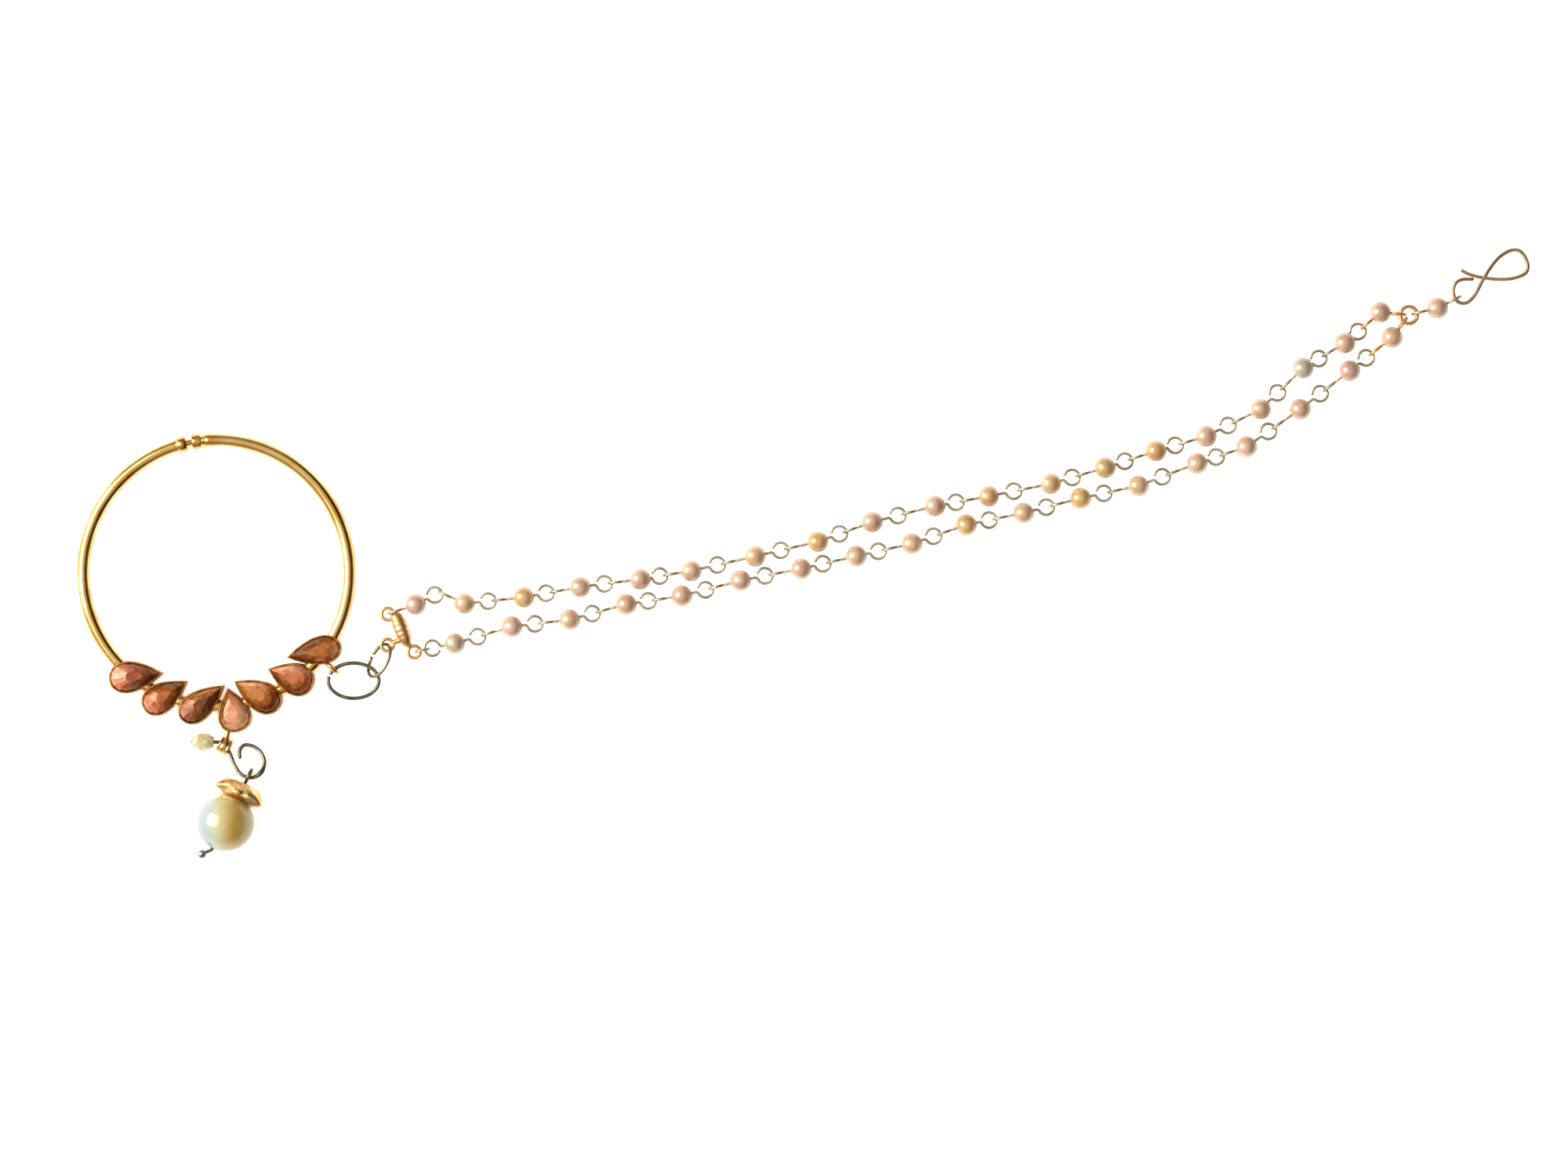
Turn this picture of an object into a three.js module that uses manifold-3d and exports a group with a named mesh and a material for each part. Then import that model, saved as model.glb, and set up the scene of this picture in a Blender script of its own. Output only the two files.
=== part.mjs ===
// Nath nose ring lying flat: a hoop with seven set stones and a pearl drop, two bead strands and a hair hook.
// Millimetres, +Z up. Every piece is placed from the middle of the hoop, and the whole then sits on z = 0
// with the origin in the middle of its outline.
import * as THREE from "three";
import { mergeVertices } from "three/addons/utils/BufferGeometryUtils.js";
import Module from "manifold-3d";

const wasm = await Module();
wasm.setup();

// Hoop
const HOOP_DIAMETER = 40;
const TUBE_DIAMETER = 1.8;
const COLLAR_DIAMETER = 2.15;
const COLLAR_LENGTH = 1.25;
const CLOSURE_ANGLE = 101.6;
const CLOSURE_GAP = 0.85;
const GROOVE_LENGTH = 0.5;
const GROOVE_DIAMETER = 1.4;
const POST_DIAMETER = 0.9;
const POST_CLEARANCE = 0.15;
const TUBE_SIDES = 8;
const TUBE_STEPS = 31;

// Settings and stones
const BEZEL_WALL = 0.36;
const BEZEL_HEIGHT = 2.05;
const BEZEL_FLOOR = 0.8;
const STONE_CLEARANCE = 0.12;
const STONE_RISE = 1.05;
const TABLE_SHARE = 0.56;
const PEAR_POINTS = 11;
// One row for each setting: where it sits on the hoop's circle, how far its middle lies outside the tube's
// centre line, which way its point looks, and its size.
const SETTINGS = [
  { at: 232.3, out: -0.37, points: 6.4, length: 7.87, width: 4.62 },
  { at: 247.6, out: -0.15, points: 32.8, length: 7.5, width: 4.4 },
  { at: 264.2, out: -0.47, points: 38.2, length: 7.98, width: 4.28 },
  { at: 277.1, out: 0.71, points: 103.6, length: 6.46, width: 4.8 },
  { at: 288.8, out: -0.77, points: 151.0, length: 7.6, width: 4.5 },
  { at: 305.6, out: -0.72, points: 159.8, length: 6.93, width: 4.73 },
  { at: 321.2, out: -1.1, points: 192.2, length: 7.97, width: 4.17 },
];
const CENTRE_SETTING = 3;
const LAST_SETTING = 6;

// Band bail under the centre setting, side loop on the last one
const BAIL_BORE = 1.6;
const BAIL_WALL = 0.4;
const BAIL_WIDTH = 1.7;
const BAIL_TURN = -30;
const BAIL_OFFSET = { x: -1.23, y: -5.17 };
const SIDE_WIRE = 0.56;
const SIDE_LOOP_INNER = 0.8;
const SIDE_LOOP_OFFSET = { x: 2.65, y: -2.33 };
const NECK_DIAMETER = 1;
const LOOP_STEPS = 10;

// Links
const LINK_GAP = 0.16;
const CHAIN_WIRE = 0.54;
const CHAIN_RING_LENGTH = 7.8;
const CHAIN_RING_WIDTH = 5.6;
const CHAIN_RING_DIRECTION = -31;
const CHAIN_RING_HOLD = 36;
const CHAIN_RING_OPEN = 165;
const OVAL_WIRE = 0.5;
const OVAL_LENGTH = 5.6;
const OVAL_WIDTH = 4.1;
const OVAL_TILT = -46;
const OVAL_GAP = 0.42;
const OVAL_DIRECTION = 62;
const SMALL_LINK_WIRE = 0.4;
const SMALL_LINK_INNER = 0.75;
const JUNCTION_WIRE = 0.55;
const JUNCTION_INNER = 0.95;
const WIRE_SIDES = 5;
const RING_STEPS = 12;
const RING_CUT = 6;

// Drop: a wire ring with a tail, its path as it lies from the middle of the bail. One row for each point.
const DROP_WIRE = 0.54;
const DROP_PATH = [
  { x: -4.83, y: 0.62 },
  { x: -3.25, y: 0.59 },
  { x: -1.68, y: 0.59 },
  { x: -0.10, y: 0.31 },
  { x: 0.80, y: -1.05 },
  { x: 1.48, y: -2.62 },
  { x: 2.61, y: -4.09 },
  { x: 4.18, y: -4.48 },
  { x: 5.42, y: -3.64 },
  { x: 5.82, y: -2.28 },
  { x: 5.20, y: -0.82 },
  { x: 3.96, y: 0.03 },
  { x: 2.72, y: 0.08 },
  { x: 2.21, y: -0.71 },
  { x: 2.27, y: -1.83 },
];
const DROP_STEPS = 22;
const DROP_SLOPE = 0.27;
const CRYSTAL_PLACE = { x: -3.05, y: 0.59 };
const CRYSTAL_DIAMETER = 2.6;
const CRYSTAL_LENGTH = 3;
const CRYSTAL_BORE = 0.95;
const CRYSTAL_SIDES = 8;
const PIN_PLACE = { x: 3.51, y: -4.43 };
const PIN_DIRECTION = 244;
const PIN_WIRE = 0.5;
const PIN_LOOP_INNER = 0.68;
const PEARL_DIAMETER = 8.3;
const PEARL_BORE = 0.9;
const PEARL_SIDES = 12;
const PEARL_ROWS = 7;
const CAP_GAP = 0.21;
const CAP_PETALS = 5;
const CAP_TURN = 27;
const CAP_NOTCH = 0.8;
const CAP_LIFT = 0.4;
const CAP_SEAT = 33;
const CAP_HOLE = 0.9;
// Outline of the cap, from its rim to its collar: how far from the pin, how far above the pearl's top, and how
// much of the notch between petals it has.
const CAP_OUTLINE = [
  { out: 3.65, up: -0.15, notch: 1 },
  { out: 3.85, up: 0.1, notch: 1 },
  { out: 3.3, up: 1, notch: 0.3 },
  { out: 2.5, up: 1.75, notch: 0 },
  { out: 1.3, up: 1.95, notch: 0 },
  { out: 0.8, up: 2.1, notch: 0 },
  { out: CAP_HOLE / 2, up: 2.1, notch: 0 },
];
const END_BALL_DIAMETER = 1.3;
const END_BALL_OFFSET = { x: -1.35, y: -0.65 };

// Connector: a small cast bar with three eyes, placed from its middle
const CONNECTOR_LENGTH = 5.6;
const CONNECTOR_DIAMETER = 2.2;
const CONNECTOR_TURN = 112;
const CONNECTOR_SIDES = 8;
const CONNECTOR_ROWS = 5;
const EYE_WIRE = 0.5;
const EYE_INNER = 0.62;
const UPPER_EYE = { x: -1.9, y: 2.1 };
const LOWER_EYE = { x: 1.9, y: -3.35 };
const SIDE_EYE = { x: -1.94, y: -2.35 };

// Strands: pearl beads on eye pins whose eyes hold each other
const BEAD_DIAMETER = 3.12;
const BEAD_ROWS = 4;
const EYE_PIN_WIRE = 0.42;
const EYE_PIN_INNER = 0.9;
const EYE_PIN_SIDES = 5;
const EYE_STEPS = 9;
const EYE_OPENING = 24;
const EYE_BITE = 0.09;

// The beads' places as they lie, from the connector's middle. One row for each bead.
const UPPER_BEADS = [
  { x: 2.1, y: 3.5 },
  { x: 9.1, y: 3.6 },
  { x: 17.6, y: 4.5 },
  { x: 25.7, y: 6.0 },
  { x: 34.3, y: 7.1 },
  { x: 41.6, y: 8.3 },
  { x: 50.8, y: 10.4 },
  { x: 59.8, y: 12.5 },
  { x: 67.6, y: 15.3 },
  { x: 76.6, y: 17.6 },
  { x: 84.3, y: 19.0 },
  { x: 93.2, y: 20.8 },
  { x: 101.0, y: 23.1 },
  { x: 108.3, y: 25.5 },
  { x: 115.5, y: 27.6 },
  { x: 123.3, y: 31.5 },
  { x: 129.4, y: 37.4 },
  { x: 135.4, y: 41.0 },
  { x: 140.5, y: 45.4 },
];
const LOWER_BEADS = [
  { x: 7.7, y: -2.1 },
  { x: 15.9, y: 0.3 },
  { x: 24.2, y: 1.3 },
  { x: 32.3, y: 3.5 },
  { x: 40.3, y: 4.7 },
  { x: 48.7, y: 6.9 },
  { x: 57.4, y: 8.6 },
  { x: 65.3, y: 10.4 },
  { x: 73.3, y: 12.2 },
  { x: 81.1, y: 14.9 },
  { x: 89.3, y: 16.6 },
  { x: 97.5, y: 18.7 },
  { x: 105.8, y: 20.5 },
  { x: 114.2, y: 23.7 },
  { x: 121.3, y: 26.1 },
  { x: 129.0, y: 31.5 },
  { x: 136.1, y: 37.0 },
  { x: 142.2, y: 41.8 },
];
// The upper strand folds between its first two beads: its eyes meet this far above the line between them.
const UPPER_FOLD = 1.7;
const JUNCTION_PLACE = { x: 144.6, y: 45.0 };
const END_BEAD_OFFSET = { x: 4.1, y: 1.0 };
const HOOK_DIRECTION = 27;

// Hook: the wire's path as it lies, from the middle of the eye that holds it. One row for each point.
const HOOK_WIRE = 0.52;
const HOOK_STEPS = 28;
const HOOK_PATH = [
  { x: 1.13, y: 4.36, z: 0.28 },
  { x: 2.25, y: 3.8, z: 0.28 },
  { x: 3.83, y: 3.35, z: 0.28 },
  { x: 6.99, y: 3.0, z: 0.28 },
  { x: 9.24, y: 3.29, z: 0.28 },
  { x: 10.6, y: 4.02, z: 0.28 },
  { x: 10.8, y: 5.26, z: 0.28 },
  { x: 9.8, y: 7.0, z: 0.28 },
  { x: 8.68, y: 7.24, z: 0.28 },
  { x: 6.87, y: 6.33, z: 0.45 },
  { x: 5.18, y: 4.36, z: 0.95 },
  { x: 4.06, y: 2.45, z: 1.15 },
  { x: 2.9, y: 0.42, z: 1.25 },
  { x: 1.8, y: -0.45, z: 1.3 },
  { x: 0.7, y: -0.3, z: 1.35 },
  { x: 0.0, y: 0.95, z: 1.35 },
  { x: 0.3, y: 2.35, z: 1.3 },
  { x: 1.13, y: 2.9, z: 1.2 },
  { x: 3.0, y: 3.0, z: 1.1 },
];

// Where the hoop's middle lies, from the middle of the whole outline
const HOOP_PLACE = { x: -84.34, y: -2.92 };

const GOLD = { color: 0xe0a04a, roughness: 0.25, metalness: 1 };
const PALE_GOLD = { color: 0xcfb079, roughness: 0.3, metalness: 1 };
const PEACH_STONE = { color: 0xc8794c, roughness: 0.12, metalness: 0.1 };
const CHAMPAGNE_PEARL = { color: 0xe6c3a4, roughness: 0.25, metalness: 0.1 };
const CREAM_PEARL = { color: 0xe9e2c4, roughness: 0.22, metalness: 0.05 };
const CLEAR_CRYSTAL = { color: 0xf0e8c8, roughness: 0.05, metalness: 0 };

const degrees = THREE.MathUtils.degToRad;
const hoopRadius = (HOOP_DIAMETER - TUBE_DIAMETER) / 2;
const tubeLevel = COLLAR_DIAMETER / 2;
const strandLevel = BEAD_DIAMETER / 2;
const sideLevel = SIDE_LOOP_INNER + SIDE_WIRE;
const eyeStep = (360 - EYE_OPENING) / EYE_STEPS;
const eyeRadius = EYE_PIN_INNER + EYE_PIN_WIRE / 2;
const eyeReach = eyeRadius * Math.cos(degrees(eyeStep / 2)) - EYE_PIN_WIRE / 2;

function spot(place, z = 0) {
  return new THREE.Vector3(place.x, place.y, z);
}

function heading(angle, length = 1) {
  return new THREE.Vector3(Math.cos(degrees(angle)), Math.sin(degrees(angle)), 0).multiplyScalar(length);
}

// A closed geometry as a solid
function solid(geometry) {
  const bare = geometry.clone();
  bare.deleteAttribute("normal");
  bare.deleteAttribute("uv");
  const merged = mergeVertices(bare, 1e-4);
  return new wasm.Manifold(
    new wasm.Mesh({
      numProp: 3,
      vertProperties: merged.attributes.position.array,
      triVerts: new Uint32Array(merged.index.array),
    }),
  );
}

function geometryOf(body) {
  const mesh = body.getMesh();
  return new THREE.BufferGeometry()
    .setAttribute("position", new THREE.BufferAttribute(mesh.vertProperties, 3))
    .setIndex(new THREE.BufferAttribute(mesh.triVerts, 1));
}

function fused(geometries) {
  return geometries.map(solid).reduce((whole, next) => whole.add(next));
}

function piece(name, shape, finish) {
  const mesh = new THREE.Mesh(shape, new THREE.MeshStandardMaterial(finish));
  mesh.name = name;
  return mesh;
}

// A geometry turned so that its Z axis looks along a direction, then moved
function aimed(geometry, direction, at) {
  const up = new THREE.Vector3(0, 0, 1);
  const turn = new THREE.Quaternion().setFromUnitVectors(up, direction.clone().normalize());
  return geometry.applyQuaternion(turn).translate(at.x, at.y, at.z);
}

function rod(diameter, from, to, sides = WIRE_SIDES) {
  const along = to.clone().sub(from);
  const cylinder = new THREE.CylinderGeometry(diameter / 2, diameter / 2, along.length(), sides);
  return aimed(cylinder.rotateX(Math.PI / 2), along, from.clone().add(to).multiplyScalar(0.5));
}

function wireAlong(path, diameter, steps, sides = WIRE_SIDES) {
  const points = Array.from({ length: sides }, (_, i) => {
    const corner = heading(((i + 0.5) * 360) / sides, diameter / 2);
    return new THREE.Vector2(corner.x, corner.y);
  });
  return new THREE.ExtrudeGeometry(new THREE.Shape(points), { steps, extrudePath: path });
}

// Part of an ellipse round the origin in the XY plane
class FlatArc extends THREE.Curve {
  constructor(radiusX, radiusY, from, to) {
    super();
    Object.assign(this, { radiusX, radiusY, from, to });
  }
  getPoint(t, target = new THREE.Vector3()) {
    const a = degrees(this.from + (this.to - this.from) * t);
    return target.set(this.radiusX * Math.cos(a), this.radiusY * Math.sin(a), 0);
  }
}

// An oval jump ring in the XY plane, cut at one angle
function jumpRing(length, width, wire, cutAt, cut = RING_CUT) {
  const arc = new FlatArc((length - wire) / 2, (width - wire) / 2, cutAt + cut / 2, cutAt + 360 - cut / 2);
  return wireAlong(arc, wire, RING_STEPS);
}

// A closed round eye. A flat one lies in the XY plane, an upright one stands along its heading.
function eye(centre, angle, inner, wire, upright, steps = LOOP_STEPS) {
  const ring = new THREE.TorusGeometry(inner + wire / 2, wire / 2, WIRE_SIDES, steps);
  if (upright) ring.rotateX(Math.PI / 2);
  return ring.rotateZ(degrees(angle)).translate(centre.x, centre.y, centre.z);
}

// Pear outline round its middle with its point on +X, drawn in by an inset
function pearOutline({ length, width }, inset) {
  const fullWidth = 8 / (3 * Math.sqrt(3));
  const pointSlope = Math.atan((2 * width) / (fullWidth * length));
  const point = length / 2 - inset / Math.sin(pointSlope);
  const back = inset - length / 2;
  return Array.from({ length: PEAR_POINTS }, (_, i) => {
    const t = (i * 2 * Math.PI) / PEAR_POINTS;
    const side = ((width - 2 * inset) / fullWidth) * Math.sin(t) * Math.sin(t / 2);
    return new THREE.Vector2((point + back) / 2 + ((point - back) / 2) * Math.cos(t), side);
  });
}

function pearPrism(row, inset, bottom, top) {
  const prism = new THREE.ExtrudeGeometry(new THREE.Shape(pearOutline(row, inset)), {
    depth: top - bottom,
    bevelEnabled: false,
  });
  return settled(prism.translate(0, 0, bottom), row);
}

function settingMiddle(row) {
  return heading(row.at, hoopRadius + row.out);
}

function settled(geometry, row) {
  const middle = settingMiddle(row);
  return geometry.rotateZ(degrees(row.points)).translate(middle.x, middle.y, 0);
}

// The drop's wire lies on the crystal bead at its tail and is lifted by the pearl at the pin.
function dropLevel(y) {
  return CRYSTAL_DIAMETER / 2 + DROP_SLOPE * (CRYSTAL_PLACE.y - y);
}

const bailCentre = settingMiddle(SETTINGS[CENTRE_SETTING]).add(spot(BAIL_OFFSET, dropLevel(0)));
const sideLoopCentre = settingMiddle(SETTINGS[LAST_SETTING]).add(spot(SIDE_LOOP_OFFSET, sideLevel));

// A short round body on the hoop's circle, from one arc length to another past an angle
function onHoop(diameter, angle, from, to, sides = TUBE_SIDES) {
  const perMillimetre = 360 / (2 * Math.PI * hoopRadius);
  const ends = [from, to].map((s) => heading(angle + s * perMillimetre, hoopRadius).setZ(tubeLevel));
  return rod(diameter, ends[0], ends[1], sides);
}

function hoop() {
  const degreesOf = (length) => (length * 360) / (2 * Math.PI * hoopRadius);
  const half = CLOSURE_GAP / 2;
  const tube = wireAlong(
    new FlatArc(
      hoopRadius,
      hoopRadius,
      CLOSURE_ANGLE + degreesOf(half + COLLAR_LENGTH / 2),
      CLOSURE_ANGLE + 360 - degreesOf(half + COLLAR_LENGTH + GROOVE_LENGTH),
    ),
    TUBE_DIAMETER,
    TUBE_STEPS,
    TUBE_SIDES,
  ).translate(0, 0, tubeLevel);
  const leftCollar = onHoop(COLLAR_DIAMETER, CLOSURE_ANGLE, half, half + COLLAR_LENGTH);
  const rightCollar = onHoop(COLLAR_DIAMETER, CLOSURE_ANGLE, -half, -half - COLLAR_LENGTH);
  const groove = onHoop(
    GROOVE_DIAMETER,
    CLOSURE_ANGLE,
    -half - COLLAR_LENGTH / 2,
    -half - COLLAR_LENGTH - 2 * GROOVE_LENGTH,
  );
  const bore = onHoop(
    POST_DIAMETER + 2 * POST_CLEARANCE,
    CLOSURE_ANGLE,
    0,
    -half - COLLAR_LENGTH * 0.8,
  );
  const post = onHoop(POST_DIAMETER, CLOSURE_ANGLE, half + COLLAR_LENGTH / 2, -half - COLLAR_LENGTH / 2);

  const bailDirection = heading(BAIL_TURN);
  const bailHalf = bailDirection.clone().multiplyScalar(BAIL_WIDTH / 2);
  const bailRing = (diameter, share) =>
    rod(
      diameter,
      bailCentre.clone().addScaledVector(bailHalf, -share),
      bailCentre.clone().addScaledVector(bailHalf, share),
      12,
    );
  const bail = bailRing(BAIL_BORE + 2 * BAIL_WALL, 1);
  const bailBore = bailRing(BAIL_BORE, 1.5);
  const bailNeck = rod(NECK_DIAMETER, settingMiddle(SETTINGS[CENTRE_SETTING]).setZ(bailCentre.z), bailCentre);

  const outward = spot(SIDE_LOOP_OFFSET).normalize();
  const sideRadius = SIDE_LOOP_INNER + SIDE_WIRE / 2;
  const sideAngle = THREE.MathUtils.radToDeg(Math.atan2(outward.y, outward.x));
  const sideLoop = eye(sideLoopCentre, sideAngle, SIDE_LOOP_INNER, SIDE_WIRE, true);
  const sideNeck = rod(
    NECK_DIAMETER,
    settingMiddle(SETTINGS[LAST_SETTING]).setZ(sideLevel),
    sideLoopCentre.clone().addScaledVector(outward, -sideRadius),
  );

  const metal = fused([
    tube,
    leftCollar,
    rightCollar,
    groove,
    bail,
    bailNeck,
    sideLoop,
    sideNeck,
    ...SETTINGS.map((row) => pearPrism(row, 0, 0, BEZEL_HEIGHT)),
  ]);
  const hollow = fused([
    bore,
    bailBore,
    ...SETTINGS.map((row) => pearPrism(row, BEZEL_WALL, BEZEL_FLOOR, 2 * BEZEL_HEIGHT)),
  ]);
  return geometryOf(metal.subtract(hollow).add(solid(post)));
}

// A stone cut with a flat table, one row of crown facets, a girdle and a flat foiled back
function stone(row) {
  const inset = BEZEL_WALL + STONE_CLEARANCE;
  const back = BEZEL_FLOOR + STONE_CLEARANCE;
  const girdle = BEZEL_HEIGHT - STONE_CLEARANCE;
  const table = BEZEL_HEIGHT + STONE_RISE;
  const outline = pearOutline(row, inset);
  const middle = outline.reduce((sum, p) => sum.add(p), new THREE.Vector2()).divideScalar(outline.length);
  const section = (z, share) =>
    outline.map((p) => {
      const q = p.clone().sub(middle).multiplyScalar(share).add(middle);
      return new THREE.Vector3(q.x, q.y, z);
    });
  return settled(lofted([section(back, 0.94), section(girdle, 1), section(table, TABLE_SHARE)]), row);
}

// A closed body through sections listed from one end to the other, whose counts of points may differ
function lofted(sections) {
  const index = [];
  let start = 0;
  sections.slice(1).forEach((next, s) => {
    const count = sections[s].length;
    const after = start + count;
    let i = 0;
    let j = 0;
    while (i < count || j < next.length) {
      const a = start + (i % count);
      const b = after + (j % next.length);
      if ((i + 0.5) / count < (j + 0.5) / next.length) {
        i += 1;
        index.push(a, start + (i % count), b);
      } else {
        j += 1;
        index.push(a, after + (j % next.length), b);
      }
    }
    start = after;
  });
  for (let i = 1; i < sections[0].length - 1; i++) {
    index.push(0, i + 1, i);
  }
  for (let i = 1; i < sections.at(-1).length - 1; i++) {
    index.push(start, start + i, start + i + 1);
  }
  return new THREE.BufferGeometry().setFromPoints(sections.flat()).setIndex(index);
}

// A ring-shaped body through sections that have as many points each, the last joined to the first
function loopedLoft(sections) {
  const count = sections[0].length;
  const index = sections.flatMap((section, s) =>
    section.flatMap((_, i) => {
      const a = s * count + i;
      const b = s * count + ((i + 1) % count);
      const c = (((s + 1) % sections.length) - s) * count;
      return [a, b, b + c, a, b + c, a + c];
    }),
  );
  return new THREE.BufferGeometry().setFromPoints(sections.flat()).setIndex(index);
}

// Chain ring: held by the side loop, flat at its level
const chainRadiusX = (CHAIN_RING_LENGTH - CHAIN_WIRE) / 2;
const chainRadiusY = (CHAIN_RING_WIDTH - CHAIN_WIRE) / 2;
const chainLook = heading(CHAIN_RING_DIRECTION);
const chainReach = 1 / Math.hypot(chainLook.x / chainRadiusX, chainLook.y / chainRadiusY) - CHAIN_WIRE / 2;
const chainRingCentre = sideLoopCentre
  .clone()
  .addScaledVector(chainLook, SIDE_LOOP_INNER + chainReach - LINK_GAP);
const chainHold = chainRingCentre
  .clone()
  .add(
    new THREE.Vector3(
      chainRadiusX * Math.cos(degrees(CHAIN_RING_HOLD)),
      chainRadiusY * Math.sin(degrees(CHAIN_RING_HOLD)),
      0,
    ),
  );

// Oval link: its lower end holds the chain ring, its upper end holds the connector's side eye
const ovalReach = OVAL_LENGTH / 2 - OVAL_WIRE;
const ovalCentre = chainHold
  .clone()
  .addScaledVector(heading(OVAL_DIRECTION), ovalReach - CHAIN_WIRE / 2 - OVAL_GAP)
  .setZ(strandLevel);
const sideEyeCentre = ovalCentre
  .clone()
  .addScaledVector(heading(OVAL_DIRECTION), ovalReach + EYE_INNER - OVAL_GAP);
const connectorCentre = sideEyeCentre.clone().sub(spot(SIDE_EYE));

function fromConnector(place) {
  return connectorCentre.clone().add(spot(place));
}

function connector() {
  const reach = heading(CONNECTOR_TURN, CONNECTOR_LENGTH / 2);
  const bar = new THREE.SphereGeometry(CONNECTOR_DIAMETER / 2, CONNECTOR_SIDES, CONNECTOR_ROWS);
  bar.rotateX(Math.PI / 2);
  bar.scale(1, 1, CONNECTOR_LENGTH / CONNECTOR_DIAMETER);
  const body = aimed(bar, reach, connectorCentre);
  const arms = [UPPER_EYE, LOWER_EYE, SIDE_EYE].flatMap((place) => {
    const along = Math.max(-0.7, Math.min(0.7, spot(place).dot(reach) / reach.lengthSq()));
    const root = connectorCentre.clone().addScaledVector(reach, along);
    const centre = fromConnector(place);
    const outward = centre.clone().sub(root).normalize();
    const rim = centre.clone().addScaledVector(outward, -EYE_INNER - EYE_WIRE / 2);
    const angle = THREE.MathUtils.radToDeg(Math.atan2(outward.y, outward.x));
    return [
      eye(centre, angle, EYE_INNER, EYE_WIRE, false),
      rod(NECK_DIAMETER, root, rim),
    ];
  });
  return geometryOf(fused([body, ...arms]));
}

// The wire of an eye from its neck round to its free end
function eyeLoop({ centre, upright }, bead) {
  const outward = centre.clone().sub(bead).normalize();
  const aside = upright ? new THREE.Vector3(0, 0, 1) : new THREE.Vector3(-outward.y, outward.x, 0);
  return Array.from({ length: EYE_STEPS + 1 }, (_, i) => {
    const a = degrees(180 + i * eyeStep);
    return centre
      .clone()
      .addScaledVector(outward, eyeRadius * Math.cos(a))
      .addScaledVector(aside, eyeRadius * Math.sin(a));
  });
}

// Sections of a wire: each is the one before it, slid along the wire to the plane that halves the next bend
function wireSections(points, first) {
  const ways = points.slice(1).map((p, i) => p.clone().sub(points[i]).normalize());
  return points.slice(1).reduce(
    (sections, point, i) => {
      const across = ways[Math.min(i + 1, ways.length - 1)].clone().add(ways[i]).normalize();
      const slide = (q) => point.clone().sub(q).dot(across) / ways[i].dot(across);
      sections.push(sections.at(-1).map((q) => q.clone().addScaledVector(ways[i], slide(q))));
      return sections;
    },
    [first],
  );
}

// One bead on an eye pin, made in one piece from the free end of one eye to that of the other
function beadLink(centre, eyes) {
  const [left, right] = eyes.map((end) => eyeLoop(end, centre));
  const path = [...left.reverse(), centre, ...right];
  const way = path[1].clone().sub(path[0]).normalize();
  const inward = eyes[0].centre.clone().sub(path[0]);
  inward.addScaledVector(way, -inward.dot(way)).setLength(EYE_PIN_WIRE / 2);
  const first = Array.from({ length: EYE_PIN_SIDES }, (_, i) =>
    inward.clone().applyAxisAngle(way, (i * 2 * Math.PI) / EYE_PIN_SIDES).add(path[0]),
  );
  const wire = wireSections(path, first);
  const axis = path[EYE_STEPS + 2].clone().sub(path[EYE_STEPS]).normalize();
  const spokes = wire[EYE_STEPS + 1].map((q) => q.clone().sub(centre).projectOnPlane(axis).normalize());
  const around = spokes.flatMap((spoke, i) => [
    spoke,
    spoke.clone().add(spokes[(i + 1) % EYE_PIN_SIDES]).normalize(),
  ]);
  const radius = BEAD_DIAMETER / 2;
  const beadRing = (directions, a) =>
    directions.map((d) =>
      centre.clone().addScaledVector(axis, -radius * Math.cos(a)).addScaledVector(d, radius * Math.sin(a)),
    );
  const edge = Math.asin(EYE_PIN_WIRE / BEAD_DIAMETER);
  const rows = Array.from({ length: BEAD_ROWS - 1 }, (_, i) =>
    beadRing(around, ((i + 1) * Math.PI) / BEAD_ROWS),
  );
  return lofted([
    ...wire.slice(0, EYE_STEPS + 1),
    beadRing(spokes, edge),
    ...rows,
    beadRing(spokes, Math.PI - edge),
    ...wire.slice(EYE_STEPS + 2),
  ]);
}

// Where an eye's middle is, on the way from its bead to the place where it is held
function eyeToward(bead, { at, reach }) {
  const way = at.clone().sub(bead).normalize();
  return at.clone().addScaledVector(way, -reach);
}

// Beads in a row. Eyes between beads hold each other and are flat and upright by turns.
function strand(places, start, end, fold) {
  const beads = places.map((place) => fromConnector(place));
  const joints = beads.slice(1).map((bead, i) => ({
    at: bead.clone().add(beads[i]).multiplyScalar(0.5).add(spot({ x: 0, y: i === 0 ? fold : 0 })),
    reach: eyeReach + EYE_BITE / 2,
  }));
  const holds = [start, ...joints, end];
  const links = beads.map((bead, i) =>
    beadLink(bead, [
      { centre: eyeToward(bead, holds[i]), upright: i > 0 || start.upright },
      { centre: eyeToward(bead, holds[i + 1]), upright: i === beads.length - 1 },
    ]),
  );
  return geometryOf(fused(links));
}

const upperEyeCentre = fromConnector(UPPER_EYE);
const lowerEyeCentre = fromConnector(LOWER_EYE);
const junctionCentre = fromConnector(JUNCTION_PLACE);
const endBeadCentre = junctionCentre.clone().add(spot(END_BEAD_OFFSET));
const junctionReach = JUNCTION_INNER + eyeReach - LINK_GAP;
const smallLinkStep = EYE_INNER + SMALL_LINK_INNER - LINK_GAP;
const lowerStart = fromConnector(LOWER_BEADS[0]).sub(lowerEyeCentre).normalize();
const smallLinkCentre = lowerEyeCentre.clone().addScaledVector(lowerStart, smallLinkStep);
const hookEyeCentre = endBeadCentre
  .clone()
  .addScaledVector(heading(HOOK_DIRECTION), endBeadCentre.distanceTo(junctionCentre) - junctionReach);

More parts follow.
